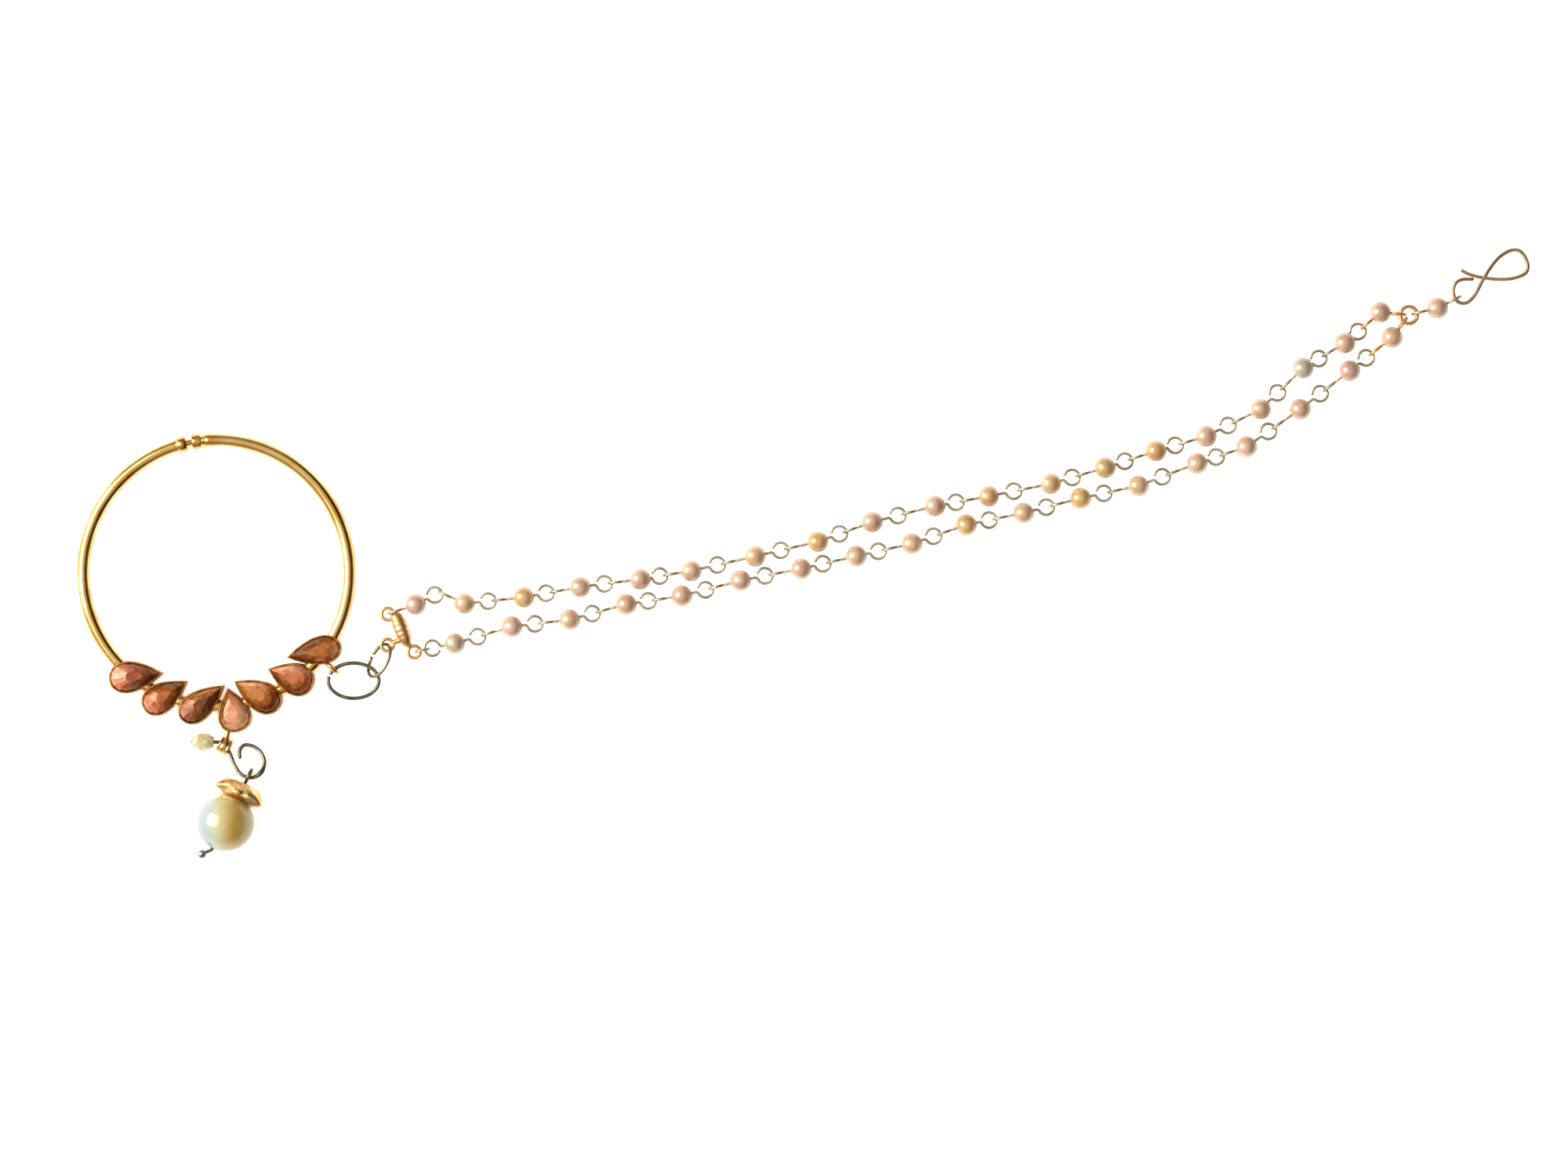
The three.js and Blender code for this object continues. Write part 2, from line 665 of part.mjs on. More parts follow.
function drop() {
  const level = (place) => bailCentre.clone().add(spot(place)).setZ(dropLevel(place.y));
  const path = new THREE.CatmullRomCurve3(DROP_PATH.map(level), false, "centripetal");
  const ring = wireAlong(path, DROP_WIRE, DROP_STEPS);

  const crystalHalf = CRYSTAL_LENGTH / 2;
  const crystalProfile = [
    new THREE.Vector2(CRYSTAL_BORE / 2, -crystalHalf),
    new THREE.Vector2(CRYSTAL_DIAMETER * 0.34, -crystalHalf),
    new THREE.Vector2(CRYSTAL_DIAMETER / 2, -crystalHalf * 0.2),
    new THREE.Vector2(CRYSTAL_DIAMETER / 2, crystalHalf * 0.2),
    new THREE.Vector2(CRYSTAL_DIAMETER * 0.34, crystalHalf),
    new THREE.Vector2(CRYSTAL_BORE / 2, crystalHalf),
    new THREE.Vector2(CRYSTAL_BORE / 2, -crystalHalf),
  ];
  const crystal = new THREE.LatheGeometry(crystalProfile, CRYSTAL_SIDES).rotateX(Math.PI / 2);
  const crystalBead = aimed(crystal, heading(0), level(CRYSTAL_PLACE));

  const wireToMiddle = PIN_LOOP_INNER - DROP_WIRE / 2 - LINK_GAP;
  const loopCentre = level(PIN_PLACE).addScaledVector(heading(PIN_DIRECTION), -wireToMiddle);
  const pearlRadius = PEARL_DIAMETER / 2;
  const loopRadius = PIN_LOOP_INNER + PIN_WIRE / 2;
  const capTop = pearlRadius + CAP_OUTLINE.at(-1).up;
  const pinLength = capTop + loopRadius + PIN_WIRE / 2 + LINK_GAP;
  const rise = pearlRadius - loopCentre.z;
  const run = Math.sqrt(pinLength ** 2 - rise ** 2);
  const pearlCentre = loopCentre.clone().addScaledVector(heading(PIN_DIRECTION), run).setZ(pearlRadius);
  const axis = loopCentre.clone().sub(pearlCentre).normalize();

  const pearlProfile = roundProfile(pearlRadius, PEARL_BORE / 2, PEARL_ROWS);
  const drilled = new THREE.LatheGeometry(pearlProfile, PEARL_SIDES).rotateX(Math.PI / 2);
  const pearl = aimed(drilled, axis, pearlCentre);

  const rim = loopCentre.clone().addScaledVector(axis, -loopRadius);
  const foot = pearlCentre.clone().addScaledVector(axis, -pearlRadius - LINK_GAP);
  const ball = foot.clone().add(spot(END_BALL_OFFSET));
  const pin = fused([
    eye(loopCentre, PIN_DIRECTION, PIN_LOOP_INNER, PIN_WIRE, true),
    rod(PIN_WIRE, rim, foot.clone().addScaledVector(axis, -PIN_WIRE / 2)),
    rod(PIN_WIRE, foot, ball),
    new THREE.SphereGeometry(END_BALL_DIAMETER / 2, 10, 5).translate(ball.x, ball.y, ball.z),
  ]);
  const cap = aimed(petalCap(), axis, pearlCentre);
  return [
    piece("drop_ring", ring, PALE_GOLD),
    piece("crystal_bead", crystalBead, CLEAR_CRYSTAL),
    piece("drop_pearl", pearl, CREAM_PEARL),
    piece("bead_cap", cap, GOLD),
    piece("drop_pin", geometryOf(pin), PALE_GOLD),
  ];
}

// Profile of a ball with a bore through it, closed on itself
function roundProfile(radius, bore, rows) {
  const edge = Math.asin(bore / radius);
  const arc = Array.from({ length: rows + 1 }, (_, i) => {
    const a = -Math.PI / 2 + edge + ((Math.PI - 2 * edge) * i) / rows;
    return new THREE.Vector2(radius * Math.cos(a), radius * Math.sin(a));
  });
  return [...arc, arc[0].clone()];
}

// Cap over the top of the pearl, with a collar round the pin. Its rim is cut back and lifted between petals.
function petalCap() {
  const pearlRadius = PEARL_DIAMETER / 2;
  const seat = pearlRadius + CAP_GAP;
  const sides = 3 * CAP_PETALS;
  const ring = ({ out, up, notch }) =>
    Array.from({ length: sides }, (_, i) => {
      const cut = i % 3 === 0 ? 0 : notch;
      const level = pearlRadius + up + cut * CAP_LIFT;
      return heading(CAP_TURN + (i * 360) / sides, out - cut * CAP_NOTCH).setZ(level);
    });
  const seated = (angle) => ({
    out: seat * Math.sin(degrees(angle)),
    up: seat * Math.cos(degrees(angle)) - pearlRadius,
    notch: 0,
  });
  const edge = THREE.MathUtils.radToDeg(Math.asin(CAP_HOLE / 2 / seat));
  const rows = [...CAP_OUTLINE, seated(edge), seated((edge + CAP_SEAT) / 2), seated(CAP_SEAT)];
  return loopedLoft(rows.map(ring));
}

function nath() {
  const group = new THREE.Group();
  group.position.set(HOOP_PLACE.x, HOOP_PLACE.y, 0);
  group.add(piece("hoop", hoop(), GOLD));
  SETTINGS.forEach((row, i) => group.add(piece("stone_" + (i + 1), stone(row), PEACH_STONE)));
  drop().forEach((mesh) => group.add(mesh));

  const chainRing = jumpRing(CHAIN_RING_LENGTH, CHAIN_RING_WIDTH, CHAIN_WIRE, CHAIN_RING_OPEN);
  chainRing.translate(chainRingCentre.x, chainRingCentre.y, chainRingCentre.z);
  group.add(piece("chain_ring", chainRing, PALE_GOLD));
  const ovalLink = jumpRing(OVAL_LENGTH, OVAL_WIDTH, OVAL_WIRE, 90)
    .rotateX(degrees(OVAL_TILT))
    .rotateZ(degrees(OVAL_DIRECTION))
    .translate(ovalCentre.x, ovalCentre.y, ovalCentre.z);
  group.add(piece("oval_link", ovalLink, PALE_GOLD));
  group.add(piece("connector", connector(), GOLD));

  const smallAngle = THREE.MathUtils.radToDeg(Math.atan2(lowerStart.y, lowerStart.x));
  const smallLink = eye(smallLinkCentre, smallAngle, SMALL_LINK_INNER, SMALL_LINK_WIRE, true, EYE_STEPS + 1);
  group.add(piece("strand_link", smallLink, PALE_GOLD));
  const junction = { at: junctionCentre, reach: junctionReach };
  const upperStart = { at: upperEyeCentre, reach: EYE_INNER + eyeReach - LINK_GAP, upright: true };
  const linkStart = { at: smallLinkCentre, reach: SMALL_LINK_INNER + eyeReach - LINK_GAP, upright: false };
  group.add(piece("strand_upper", strand(UPPER_BEADS, upperStart, junction, UPPER_FOLD), CHAMPAGNE_PEARL));
  group.add(piece("strand_lower", strand(LOWER_BEADS, linkStart, junction, 0), CHAMPAGNE_PEARL));
  const junctionRing = eye(junctionCentre, 0, JUNCTION_INNER, JUNCTION_WIRE, false);
  group.add(piece("junction_ring", junctionRing, GOLD));

  const endEyes = [
    { centre: eyeToward(endBeadCentre, junction), upright: true },
    { centre: hookEyeCentre, upright: true },
  ];
  group.add(piece("end_bead", beadLink(endBeadCentre, endEyes), CHAMPAGNE_PEARL));
  const hookPoints = HOOK_PATH.map((p) => hookEyeCentre.clone().add(spot(p)).setZ(p.z));
  const hookPath = new THREE.CatmullRomCurve3(hookPoints, false, "centripetal");
  group.add(piece("hair_hook", wireAlong(hookPath, HOOK_WIRE, HOOK_STEPS), PALE_GOLD));
  return group;
}

const model = new THREE.Group();
model.add(nath());

export default model;
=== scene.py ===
# Nath nose ring lying on a pale floor, seen straight down. Sizes are in millimetres until a mesh is made.
import math
import random

import bmesh
import bpy
from mathutils import Matrix, Vector


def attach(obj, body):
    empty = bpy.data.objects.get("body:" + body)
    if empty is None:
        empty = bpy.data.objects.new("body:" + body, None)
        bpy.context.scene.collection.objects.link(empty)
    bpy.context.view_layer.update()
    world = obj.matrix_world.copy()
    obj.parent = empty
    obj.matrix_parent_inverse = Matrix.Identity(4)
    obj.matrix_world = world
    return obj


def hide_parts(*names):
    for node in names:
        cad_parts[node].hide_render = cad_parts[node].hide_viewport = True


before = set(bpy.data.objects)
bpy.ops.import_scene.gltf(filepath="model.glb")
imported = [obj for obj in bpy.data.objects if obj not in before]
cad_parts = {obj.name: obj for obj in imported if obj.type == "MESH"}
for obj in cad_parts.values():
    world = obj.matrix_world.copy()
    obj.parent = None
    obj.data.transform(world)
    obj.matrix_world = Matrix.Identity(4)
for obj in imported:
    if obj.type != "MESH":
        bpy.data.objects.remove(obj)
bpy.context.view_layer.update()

MM = 0.001
ALONG_X = Vector((1, 0, 0))
ALONG_Y = Vector((0, 1, 0))
UP = Vector((0, 0, 1))
scene = bpy.context.scene


# Places and sizes, as in the frame
HOOP = Vector((-84.34, -2.92, 0))
HOOP_RADIUS = 19.1
TUBE = 0.9
TUBE_LEVEL = 1.075
COLLAR = 1.075
COLLAR_LENGTH = 1.25
CLOSURE = 101.6
HALF_GAP = 0.425
POST = 0.45
POST_GAP = 0.15
WALL = 0.2
BEZEL_TOP = 2.05
CUP_FLOOR = 0.8
CLEARANCE = 0.07
GIRDLE = 1.93
TABLE = 3.1
FACETS = 16
# Degrees round the hoop, how far outside its circle, where the point looks, length and width
SETTINGS = [
    (232.3, -0.37, 6.4, 7.87, 4.62),
    (247.6, -0.15, 32.8, 7.5, 4.4),
    (264.2, -0.47, 38.2, 7.98, 4.28),
    (277.1, 0.71, 103.6, 6.46, 4.8),
    (288.8, -0.77, 151.0, 7.6, 4.5),
    (305.6, -0.72, 159.8, 6.93, 4.73),
    (321.2, -1.1, 192.2, 7.97, 4.17),
]
BAIL = HOOP + Vector((1.219, -24.828, 1.459))
BAIL_TURN = -30
SIDE_LOOP = HOOP + Vector((16.678, -13.609, 1.36))
CHAIN_RING = HOOP + Vector((19.745, -15.451, 1.36))
OVAL = HOOP + Vector((23.437, -12.543, 1.56))
OVAL_DIRECTION = 62
CONNECTOR = HOOP + Vector((26.551, -7.985, 1.56))
CONNECTOR_TURN = 112
CONNECTOR_EYES = [(-1.9, 2.1), (1.9, -3.35), (-1.94, -2.35)]
SMALL_LINK = HOOP + Vector((29.634, -11.08, 1.56))
JUNCTION = HOOP + Vector((171.151, 37.015, 1.56))
END_BEAD = HOOP + Vector((175.251, 38.015, 1.56))
HOOK_EYE = HOOP + Vector((177.557, 39.19, 1.56))
VIEW_CENTRE = HOOP + Vector((81.5, -2.15, 0))
VIEW_WIDTH = 225.4
CRYSTAL = (-3.05, 0.59)
PIN_PLACE = (3.51, -4.43)
PIN_DIRECTION = 244
PIN_LOOP = 0.93
PIN_HOLE = 0.45
END_BALL = Vector((-1.35, -0.65, 0))
END_BALL_RADIUS = 0.65
# How far from the pin, how far above the pearl's top, and the share of the notch between petals
CAP_OUTLINE = [
    (3.65, -0.15, 1.0), (3.85, 0.1, 1.0), (3.3, 1.0, 0.3),
    (2.5, 1.75, 0.0), (1.3, 1.95, 0.0), (0.8, 2.1, 0.0),
]
CAP_TURN = 27
CAP_NOTCH = 0.8
CAP_LIFT = 0.4
CAP_SEAT = 33
CAP_GAP = 0.21
DROP_PATH = [
    (-4.83, 0.62), (-3.25, 0.59), (-1.68, 0.59), (-0.10, 0.31), (0.80, -1.05),
    (1.48, -2.62), (2.61, -4.09), (4.18, -4.48), (5.42, -3.64), (5.82, -2.28),
    (5.20, -0.82), (3.96, 0.03), (2.72, 0.08), (2.21, -0.71), (2.27, -1.83),
]
DROP_SLOPE = 0.27
HOOK_PATH = [
    (1.13, 4.36, 0.28), (2.25, 3.8, 0.28), (3.83, 3.35, 0.28), (6.99, 3.0, 0.28),
    (9.24, 3.29, 0.28), (10.6, 4.02, 0.28), (10.8, 5.26, 0.28), (9.8, 7.0, 0.28),
    (8.68, 7.24, 0.28), (6.87, 6.33, 0.45), (5.18, 4.36, 0.95), (4.06, 2.45, 1.15),
    (2.9, 0.42, 1.25), (1.8, -0.45, 1.3), (0.7, -0.3, 1.35), (0.0, 0.95, 1.35),
    (0.3, 2.35, 1.3), (1.13, 2.9, 1.2), (3.0, 3.0, 1.1),
]
PEARL_RADIUS = 4.15
BEAD_RADIUS = 1.56
BEAD_HOLE = 0.27
BEAD_TOPS = 2.95
EYE_RADIUS = 1.11
EYE_STEPS = 20
EYE_OPENING = 24
CONNECTOR_EYE = 0.87
SMALL_LINK_RADIUS = 0.95
JUNCTION_RADIUS = 1.225
UPPER_FOLD = 1.7
# From the middle of an eye to the middle of what holds it
EYE_REACH = 0.887
CONNECTOR_REACH = 1.3016
SMALL_LINK_REACH = 1.4316
JUNCTION_REACH = 1.6316
LINK_GAP = 0.16
# Radii of the wires
SIDE_LOOP_WIRE = 0.28
DROP_WIRE = 0.27
PIN_WIRE = 0.25
CHAIN_WIRE = 0.27
OVAL_WIRE = 0.25
CONNECTOR_WIRE = 0.25
SMALL_LINK_WIRE = 0.2
EYE_WIRE = 0.21
JUNCTION_WIRE = 0.275
HOOK_WIRE = 0.26
NECK = 0.5


# Small helpers
def heading(angle, length=1.0):
    a = math.radians(angle)
    return Vector((math.cos(a), math.sin(a), 0)) * length


def linear(code):
    """A hex sRGB colour as linear RGBA."""
    parts = [int(code[i : i + 2], 16) / 255 for i in (1, 3, 5)]
    return [p / 12.92 if p <= 0.04045 else ((p + 0.055) / 1.055) ** 2.4 for p in parts] + [1.0]


def node(tree, kind, inputs=None, **settings):
    """Adds a node, sets its properties, and fills its inputs with values or links."""
    made = tree.nodes.new(kind)
    for key, value in settings.items():
        setattr(made, key, value)
    for key, value in (inputs or {}).items():
        if isinstance(value, bpy.types.NodeSocket):
            tree.links.new(value, made.inputs[key])
        else:
            made.inputs[key].default_value = value
    return made


def object_of(name, mesh, material=None):
    made = bpy.data.objects.new(name, mesh)
    scene.collection.objects.link(made)
    if material:
        mesh.materials.clear()
        mesh.materials.append(material)
    return made


def mesh_of(name, points, faces, smooth=True):
    """A closed mesh, facing out, from points in millimetres."""
    mesh = bpy.data.meshes.new(name)
    mesh.from_pydata([Vector(p) * MM for p in points], [], faces)
    body = bmesh.new()
    body.from_mesh(mesh)
    bmesh.ops.recalc_face_normals(body, faces=body.faces)
    body.to_mesh(mesh)
    body.free()
    for face in mesh.polygons:
        face.use_smooth = smooth
    return mesh


def skin(rings, loop=False):
    """Points and faces over rings of equal count: capped at both ends, or joined end to start."""
    count = len(rings[0])
    points = [p for ring in rings for p in ring]
    faces = []
    for r in range(len(rings) - (0 if loop else 1)):
        a, b = r * count, (r + 1) % len(rings) * count
        faces += [(a + i, a + (i + 1) % count, b + (i + 1) % count, b + i) for i in range(count)]
    if not loop:
        faces += [tuple(range(count)), tuple(range(len(points) - count, len(points)))]
    return points, faces


def basis(axis):
    """Two directions across an axis."""
    side = axis.cross(UP)
    side = side.normalized() if side.length > 1e-6 else ALONG_X
    return side, side.cross(axis).normalized()


def lathe(profile, centre, axis, sides):
    """Rings round an axis, from (distance along it, radius)."""
    axis = axis.normalized()
    u, v = basis(axis)
    turns = [2 * math.pi * i / sides for i in range(sides)]
    return [
        [centre + axis * s + (u * math.cos(t) + v * math.sin(t)) * r for t in turns] for s, r in profile
    ]


def merged(name, parts, material, smooth=True):
    """One object from several (points, faces)."""
    points, faces = [], []
    for some, more in parts:
        faces += [tuple(i + len(points) for i in face) for face in more]
        points += some
    return object_of(name, mesh_of(name, points, faces, smooth), material)


def joined(name, objects, material):
    """One object from several, which are removed."""
    body = bmesh.new()
    for one in objects:
        body.from_mesh(one.data)
    mesh = bpy.data.meshes.new(name)
    body.to_mesh(mesh)
    body.free()
    for one in objects:
        bpy.data.objects.remove(one)
    return object_of(name, mesh, material)


def through(points, per):
    """Centripetal Catmull-Rom curve through points."""
    pts = [Vector(p) for p in points]
    pts = [2 * pts[0] - pts[1]] + pts + [2 * pts[-1] - pts[-2]]
    out = []
    for p0, p1, p2, p3 in zip(pts, pts[1:], pts[2:], pts[3:]):
        d0, d1, d2 = ((b - a).length ** 0.5 for a, b in ((p0, p1), (p1, p2), (p2, p3)))
        t1 = ((p1 - p0) / d0 - (p2 - p0) / (d0 + d1) + (p2 - p1) / d1) * d1
        t2 = ((p2 - p1) / d1 - (p3 - p1) / (d1 + d2) + (p3 - p2) / d2) * d1
        for k in range(per):
            t = k / per
            out.append(
                (2 * t**3 - 3 * t**2 + 1) * p1
                + (t**3 - 2 * t**2 + t) * t1
                + (3 * t**2 - 2 * t**3) * p2
                + (t**3 - t**2) * t2
            )
    return out + [pts[-2]]


# Geometry nodes
def geometry_tree(name, sockets):
    tree = bpy.data.node_groups.new(name, "GeometryNodeTree")
    tree.interface.new_socket("Geometry", in_out="INPUT", socket_type="NodeSocketGeometry")
    for label, kind in sockets:
        tree.interface.new_socket(label, in_out="INPUT", socket_type=kind)
    tree.interface.new_socket("Geometry", in_out="OUTPUT", socket_type="NodeSocketGeometry")
    return tree, tree.nodes.new("NodeGroupInput"), tree.nodes.new("NodeGroupOutput")


def attribute(tree, name, kind="FLOAT"):
    made = node(tree, "GeometryNodeInputNamedAttribute", {"Name": name}, data_type=kind)
    return made.outputs["Attribute"]


def wire_tree():
    """Round wire along every line of a carrier mesh. The attribute thick scales it at each point."""
    tree, given, out = geometry_tree(
        "round wire along lines",
        [("Radius", "NodeSocketFloat"), ("Sides", "NodeSocketInt"), ("Finish", "NodeSocketMaterial")],
    )
    line = node(tree, "GeometryNodeMeshToCurve", {"Mesh": given.outputs["Geometry"]})
    factors = {0: attribute(tree, "thick"), 1: given.outputs["Radius"]}
    size = node(tree, "ShaderNodeMath", factors, operation="MULTIPLY")
    circle = {"Resolution": given.outputs["Sides"], "Radius": 1.0}
    profile = node(tree, "GeometryNodeCurvePrimitiveCircle", circle)
    tube = node(
        tree,
        "GeometryNodeCurveToMesh",
        {
            "Curve": line.outputs["Curve"],
            "Profile Curve": profile.outputs["Curve"],
            "Scale": size.outputs[0],
            "Fill Caps": True,
        },
    )
    painted = node(
        tree,
        "GeometryNodeSetMaterial",
        {"Geometry": tube.outputs["Mesh"], "Material": given.outputs["Finish"]},
    )
    tree.links.new(painted.outputs["Geometry"], out.inputs["Geometry"])
    return tree


def repeat_tree():
    """A piece on each point of a carrier mesh, with the point's attributes turn, size and tint."""
    tree, given, out = geometry_tree(
        "piece on points", [("Piece", "NodeSocketObject"), ("Finish", "NodeSocketMaterial")]
    )
    points = node(tree, "GeometryNodeMeshToPoints", {"Mesh": given.outputs["Geometry"]})
    piece = node(tree, "GeometryNodeObjectInfo", {"Object": given.outputs["Piece"]})
    turn = node(tree, "FunctionNodeEulerToRotation", {"Euler": attribute(tree, "turn", "FLOAT_VECTOR")})
    copies = node(
        tree,
        "GeometryNodeInstanceOnPoints",
        {
            "Points": points.outputs["Points"],
            "Instance": piece.outputs["Geometry"],
            "Rotation": turn.outputs["Rotation"],
            "Scale": attribute(tree, "size", "FLOAT_VECTOR"),
        },
    )
    real = node(tree, "GeometryNodeRealizeInstances", {"Geometry": copies.outputs["Instances"]})
    painted = node(
        tree,
        "GeometryNodeSetMaterial",
        {"Geometry": real.outputs["Geometry"], "Material": given.outputs["Finish"]},
    )
    tree.links.new(painted.outputs["Geometry"], out.inputs["Geometry"])
    return tree


def grown(name, carrier, tree, values):
    """The carrier's node tree made into a plain mesh."""
    maker = object_of(name + "_carrier", carrier)
    modifier = maker.modifiers.new("grow", "NODES")
    modifier.node_group = tree
    for item in tree.interface.items_tree:
        if item.in_out == "INPUT" and item.name in values:
            modifier[item.identifier] = values[item.name]
    graph = bpy.context.evaluated_depsgraph_get()
    mesh = bpy.data.meshes.new_from_object(
        maker.evaluated_get(graph), preserve_all_data_layers=True, depsgraph=graph
    )
    bpy.data.objects.remove(maker)
    mesh.name = name
    for face in mesh.polygons:
        face.use_smooth = True
    return object_of(name, mesh)


WIRE = wire_tree()
REPEAT = repeat_tree()


def rounded(points, radius, profile=(10, 30, 50, 70, 90), depth=1.0):
    """The same open line with round ends, or flatter ones: points and thickness."""
    points = [Vector(p) for p in points]

    def tip(some):
        start, way = some[0], (some[1] - some[0]).normalized()
        rest = [p for p in some[1:] if (p - start).length > radius * 1.05]
        marks = [(0.0, 0.02)] + [(1 - math.cos(math.radians(a)), math.sin(math.radians(a))) for a in profile]
        return [start + way * radius * depth * s for s, _ in marks], [t for _, t in marks], rest

    head, head_thick, rest = tip(points)
    tail, tail_thick, middle = tip(rest[::-1])
    middle = middle[::-1]
    return head + middle + tail[::-1], head_thick + [1.0] * len(middle) + tail_thick[::-1]


def wires(name, lines, radius, material, sides):
    """Round wires. A line is points, or (points, thickness), and is closed if its last point is its first."""
    points, edges, thick = [], [], []
    for line in lines:
        some, sizes = line if isinstance(line, tuple) else (line, [1.0] * len(line))
        closed = (Vector(some[0]) - Vector(some[-1])).length < 1e-6
        if closed:
            some, sizes = some[:-1], sizes[:-1]
        first = len(points)
        points += [Vector(p) * MM for p in some]
        thick += sizes
        edges += [(first + i, first + i + 1) for i in range(len(some) - 1)]
        if closed:
            edges.append((first + len(some) - 1, first))
    carrier = bpy.data.meshes.new(name + "_lines")
    carrier.from_pydata(points, edges, [])
    carrier.attributes.new("thick", "FLOAT", "POINT").data.foreach_set("value", thick)
    return grown(name, carrier, WIRE, {"Radius": radius * MM, "Sides": sides, "Finish": material})


def repeated(name, piece, places, axes, tints, material, sizes):
    """Copies of a piece whose own axis is X."""
    carrier = bpy.data.meshes.new(name + "_points")
    carrier.from_pydata([p * MM for p in places], [], [])
    turns = [x for a in axes for x in a.to_track_quat("X", "Z").to_euler()]
    carrier.attributes.new("turn", "FLOAT_VECTOR", "POINT").data.foreach_set("vector", turns)
    carrier.attributes.new("tint", "FLOAT", "POINT").data.foreach_set("value", tints)
    scales = [x for s in sizes for x in s]
    carrier.attributes.new("size", "FLOAT_VECTOR", "POINT").data.foreach_set("vector", scales)
    return grown(name, carrier, REPEAT, {"Piece": piece, "Finish": material})


def arc(centre, radius_x, radius_y, start, end, steps, across, up):
    """Points of an elliptic arc, in the plane of two directions."""
    turns = [math.radians(start + (end - start) * i / steps) for i in range(steps + 1)]
    return [centre + across * radius_x * math.cos(t) + up * radius_y * math.sin(t) for t in turns]


def piece(made, slot, *nodes):
    """A finished piece that stands for CAD nodes."""
    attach(made, "root")
    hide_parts(*nodes)


# Materials
def new_material(name):
    made = bpy.data.materials.new(name)
    made.use_nodes = True
    tree = made.node_tree
    tree.nodes.clear()
    out = tree.nodes.new("ShaderNodeOutputMaterial")
    shader = tree.nodes.new("ShaderNodeBsdfPrincipled")
    tree.links.new(shader.outputs["BSDF"], out.inputs["Surface"])
    return made, tree, shader, tree.nodes.new("ShaderNodeTexCoord").outputs["Object"]


def noise(tree, place, size, detail=3.0, rough=0.5):
    """Noise whose features are about size millimetres."""
    made = node(
        tree,
        "ShaderNodeTexNoise",
        {"Vector": place, "Scale": 1000 / size, "Detail": detail, "Roughness": rough},
    )
    return made.outputs["Fac"]


def ramp(tree, value, stops):
    """Colours at positions along a value."""
    made = node(tree, "ShaderNodeValToRGB", {"Fac": value})
    steps = made.color_ramp.elements
    while len(steps) < len(stops):
        steps.new(0.5)
    for step, (place, code) in zip(steps, stops):
        step.position = place
        step.color = linear(code)
    return made.outputs["Color"]


def between(tree, value, low, high, first=0.0, last=1.0):
    """A value from first to last, moved to run from low to high."""
    made = node(
        tree,
        "ShaderNodeMapRange",
        {"Value": value, "From Min": first, "From Max": last, "To Min": low, "To Max": high},
    )
    return made.outputs["Result"]


def blended(tree, share, a, b, kind="MIX"):
    """Colour a, with a share of colour b."""
    made = node(tree, "ShaderNodeMix", data_type="RGBA", blend_type=kind)
    for socket, value in zip((made.inputs[0], made.inputs[6], made.inputs[7]), (share, a, b)):
        if isinstance(value, bpy.types.NodeSocket):
            tree.links.new(value, socket)
        else:
            socket.default_value = value
    return made.outputs[2]


def bumped(tree, shader, height, depth):
    """Relief of depth millimetres."""
    made = node(tree, "ShaderNodeBump", {"Height": height, "Distance": depth * MM})
    tree.links.new(made.outputs["Normal"], shader.inputs["Normal"])


def metal(name, stops, size, roughness, grain=0.006, pits=0.35):
    """Plated metal: slow colour changes in the plating, fine polishing marks and small pits."""
    made, tree, shader, place = new_material(name)
    slow = noise(tree, place, size, 4.0)
    fine = noise(tree, place, 0.25, 5.0, 0.65)
    marks = noise(tree, place, pits, 2.0)
    tree.links.new(ramp(tree, slow, stops), shader.inputs["Base Color"])
    tree.links.new(between(tree, fine, *roughness, 0.3, 0.7), shader.inputs["Roughness"])
    shader.inputs["Metallic"].default_value = 1.0
    both = node(tree, "ShaderNodeMath", {0: fine, 1: marks}, operation="ADD").outputs[0]
    bumped(tree, shader, both, grain)
    return made


# Bright polished gold plating of the hoop, paler and redder by turns
hoop_gold = metal(
    "polished gold plating",
    [(0.3, "#D99A4C"), (0.47, "#E8B566"), (0.6, "#F0C77E"), (0.72, "#E3A866")],
    5.0,
    (0.1, 0.24),
)
# Softer, redder gold of the small castings
cast_gold = metal(
    "cast gold plating", [(0.3, "#D29A56"), (0.5, "#E8B470"), (0.68, "#EEC09A")], 1.6, (0.3, 0.48), 0.02, 0.5
)
# Thin pressed cap with a brighter, yellower plating
cap_gold = metal(
    "pressed cap plating", [(0.32, "#DDA058"), (0.5, "#EEC27C"), (0.7, "#F5DDAC")], 1.8, (0.24, 0.38), 0.005
)
# Drawn wire whose thin plating lets the grey metal through
pale_wire = metal(
    "worn plated wire", [(0.32, "#7C6F5A"), (0.5, "#A39370"), (0.68, "#B9AE86")], 1.4, (0.18, 0.34), 0.008
)
# Heavier rings whose plating has worn through to grey brown
tarnished_wire = metal(
    "tarnished ring wire", [(0.32, "#5A5040"), (0.5, "#7C6F54"), (0.68, "#938868")], 1.8, (0.26, 0.42), 0.01
)
# Plain steel of the pin's end ball
ball_steel = metal("grey ball", [(0.35, "#8C9AA2"), (0.65, "#A9B5BB")], 1.0, (0.22, 0.36), 0.008)
# Thin wire of the eye pins: pale champagne plating, softly worn
strand_wire = metal(
    "thin champagne wire", [(0.32, "#A89A82"), (0.5, "#C2B396"), (0.68, "#D8CCB0")], 1.4, (0.34, 0.5), 0.006
)
# Rims of the settings, in a darker brown gold than the hoop
setting_gold = metal(
    "brown gold settings", [(0.32, "#8E5522"), (0.5, "#B97A35"), (0.7, "#D9A357")], 1.1, (0.22, 0.42), 0.015
)
# Hook wire, browner and duller from the hair it is worn in
hook_wire = metal(
    "antiqued hook wire", [(0.3, "#A88460"), (0.5, "#C09C76"), (0.7, "#D2B48E")], 2.2, (0.34, 0.5), 0.01
)


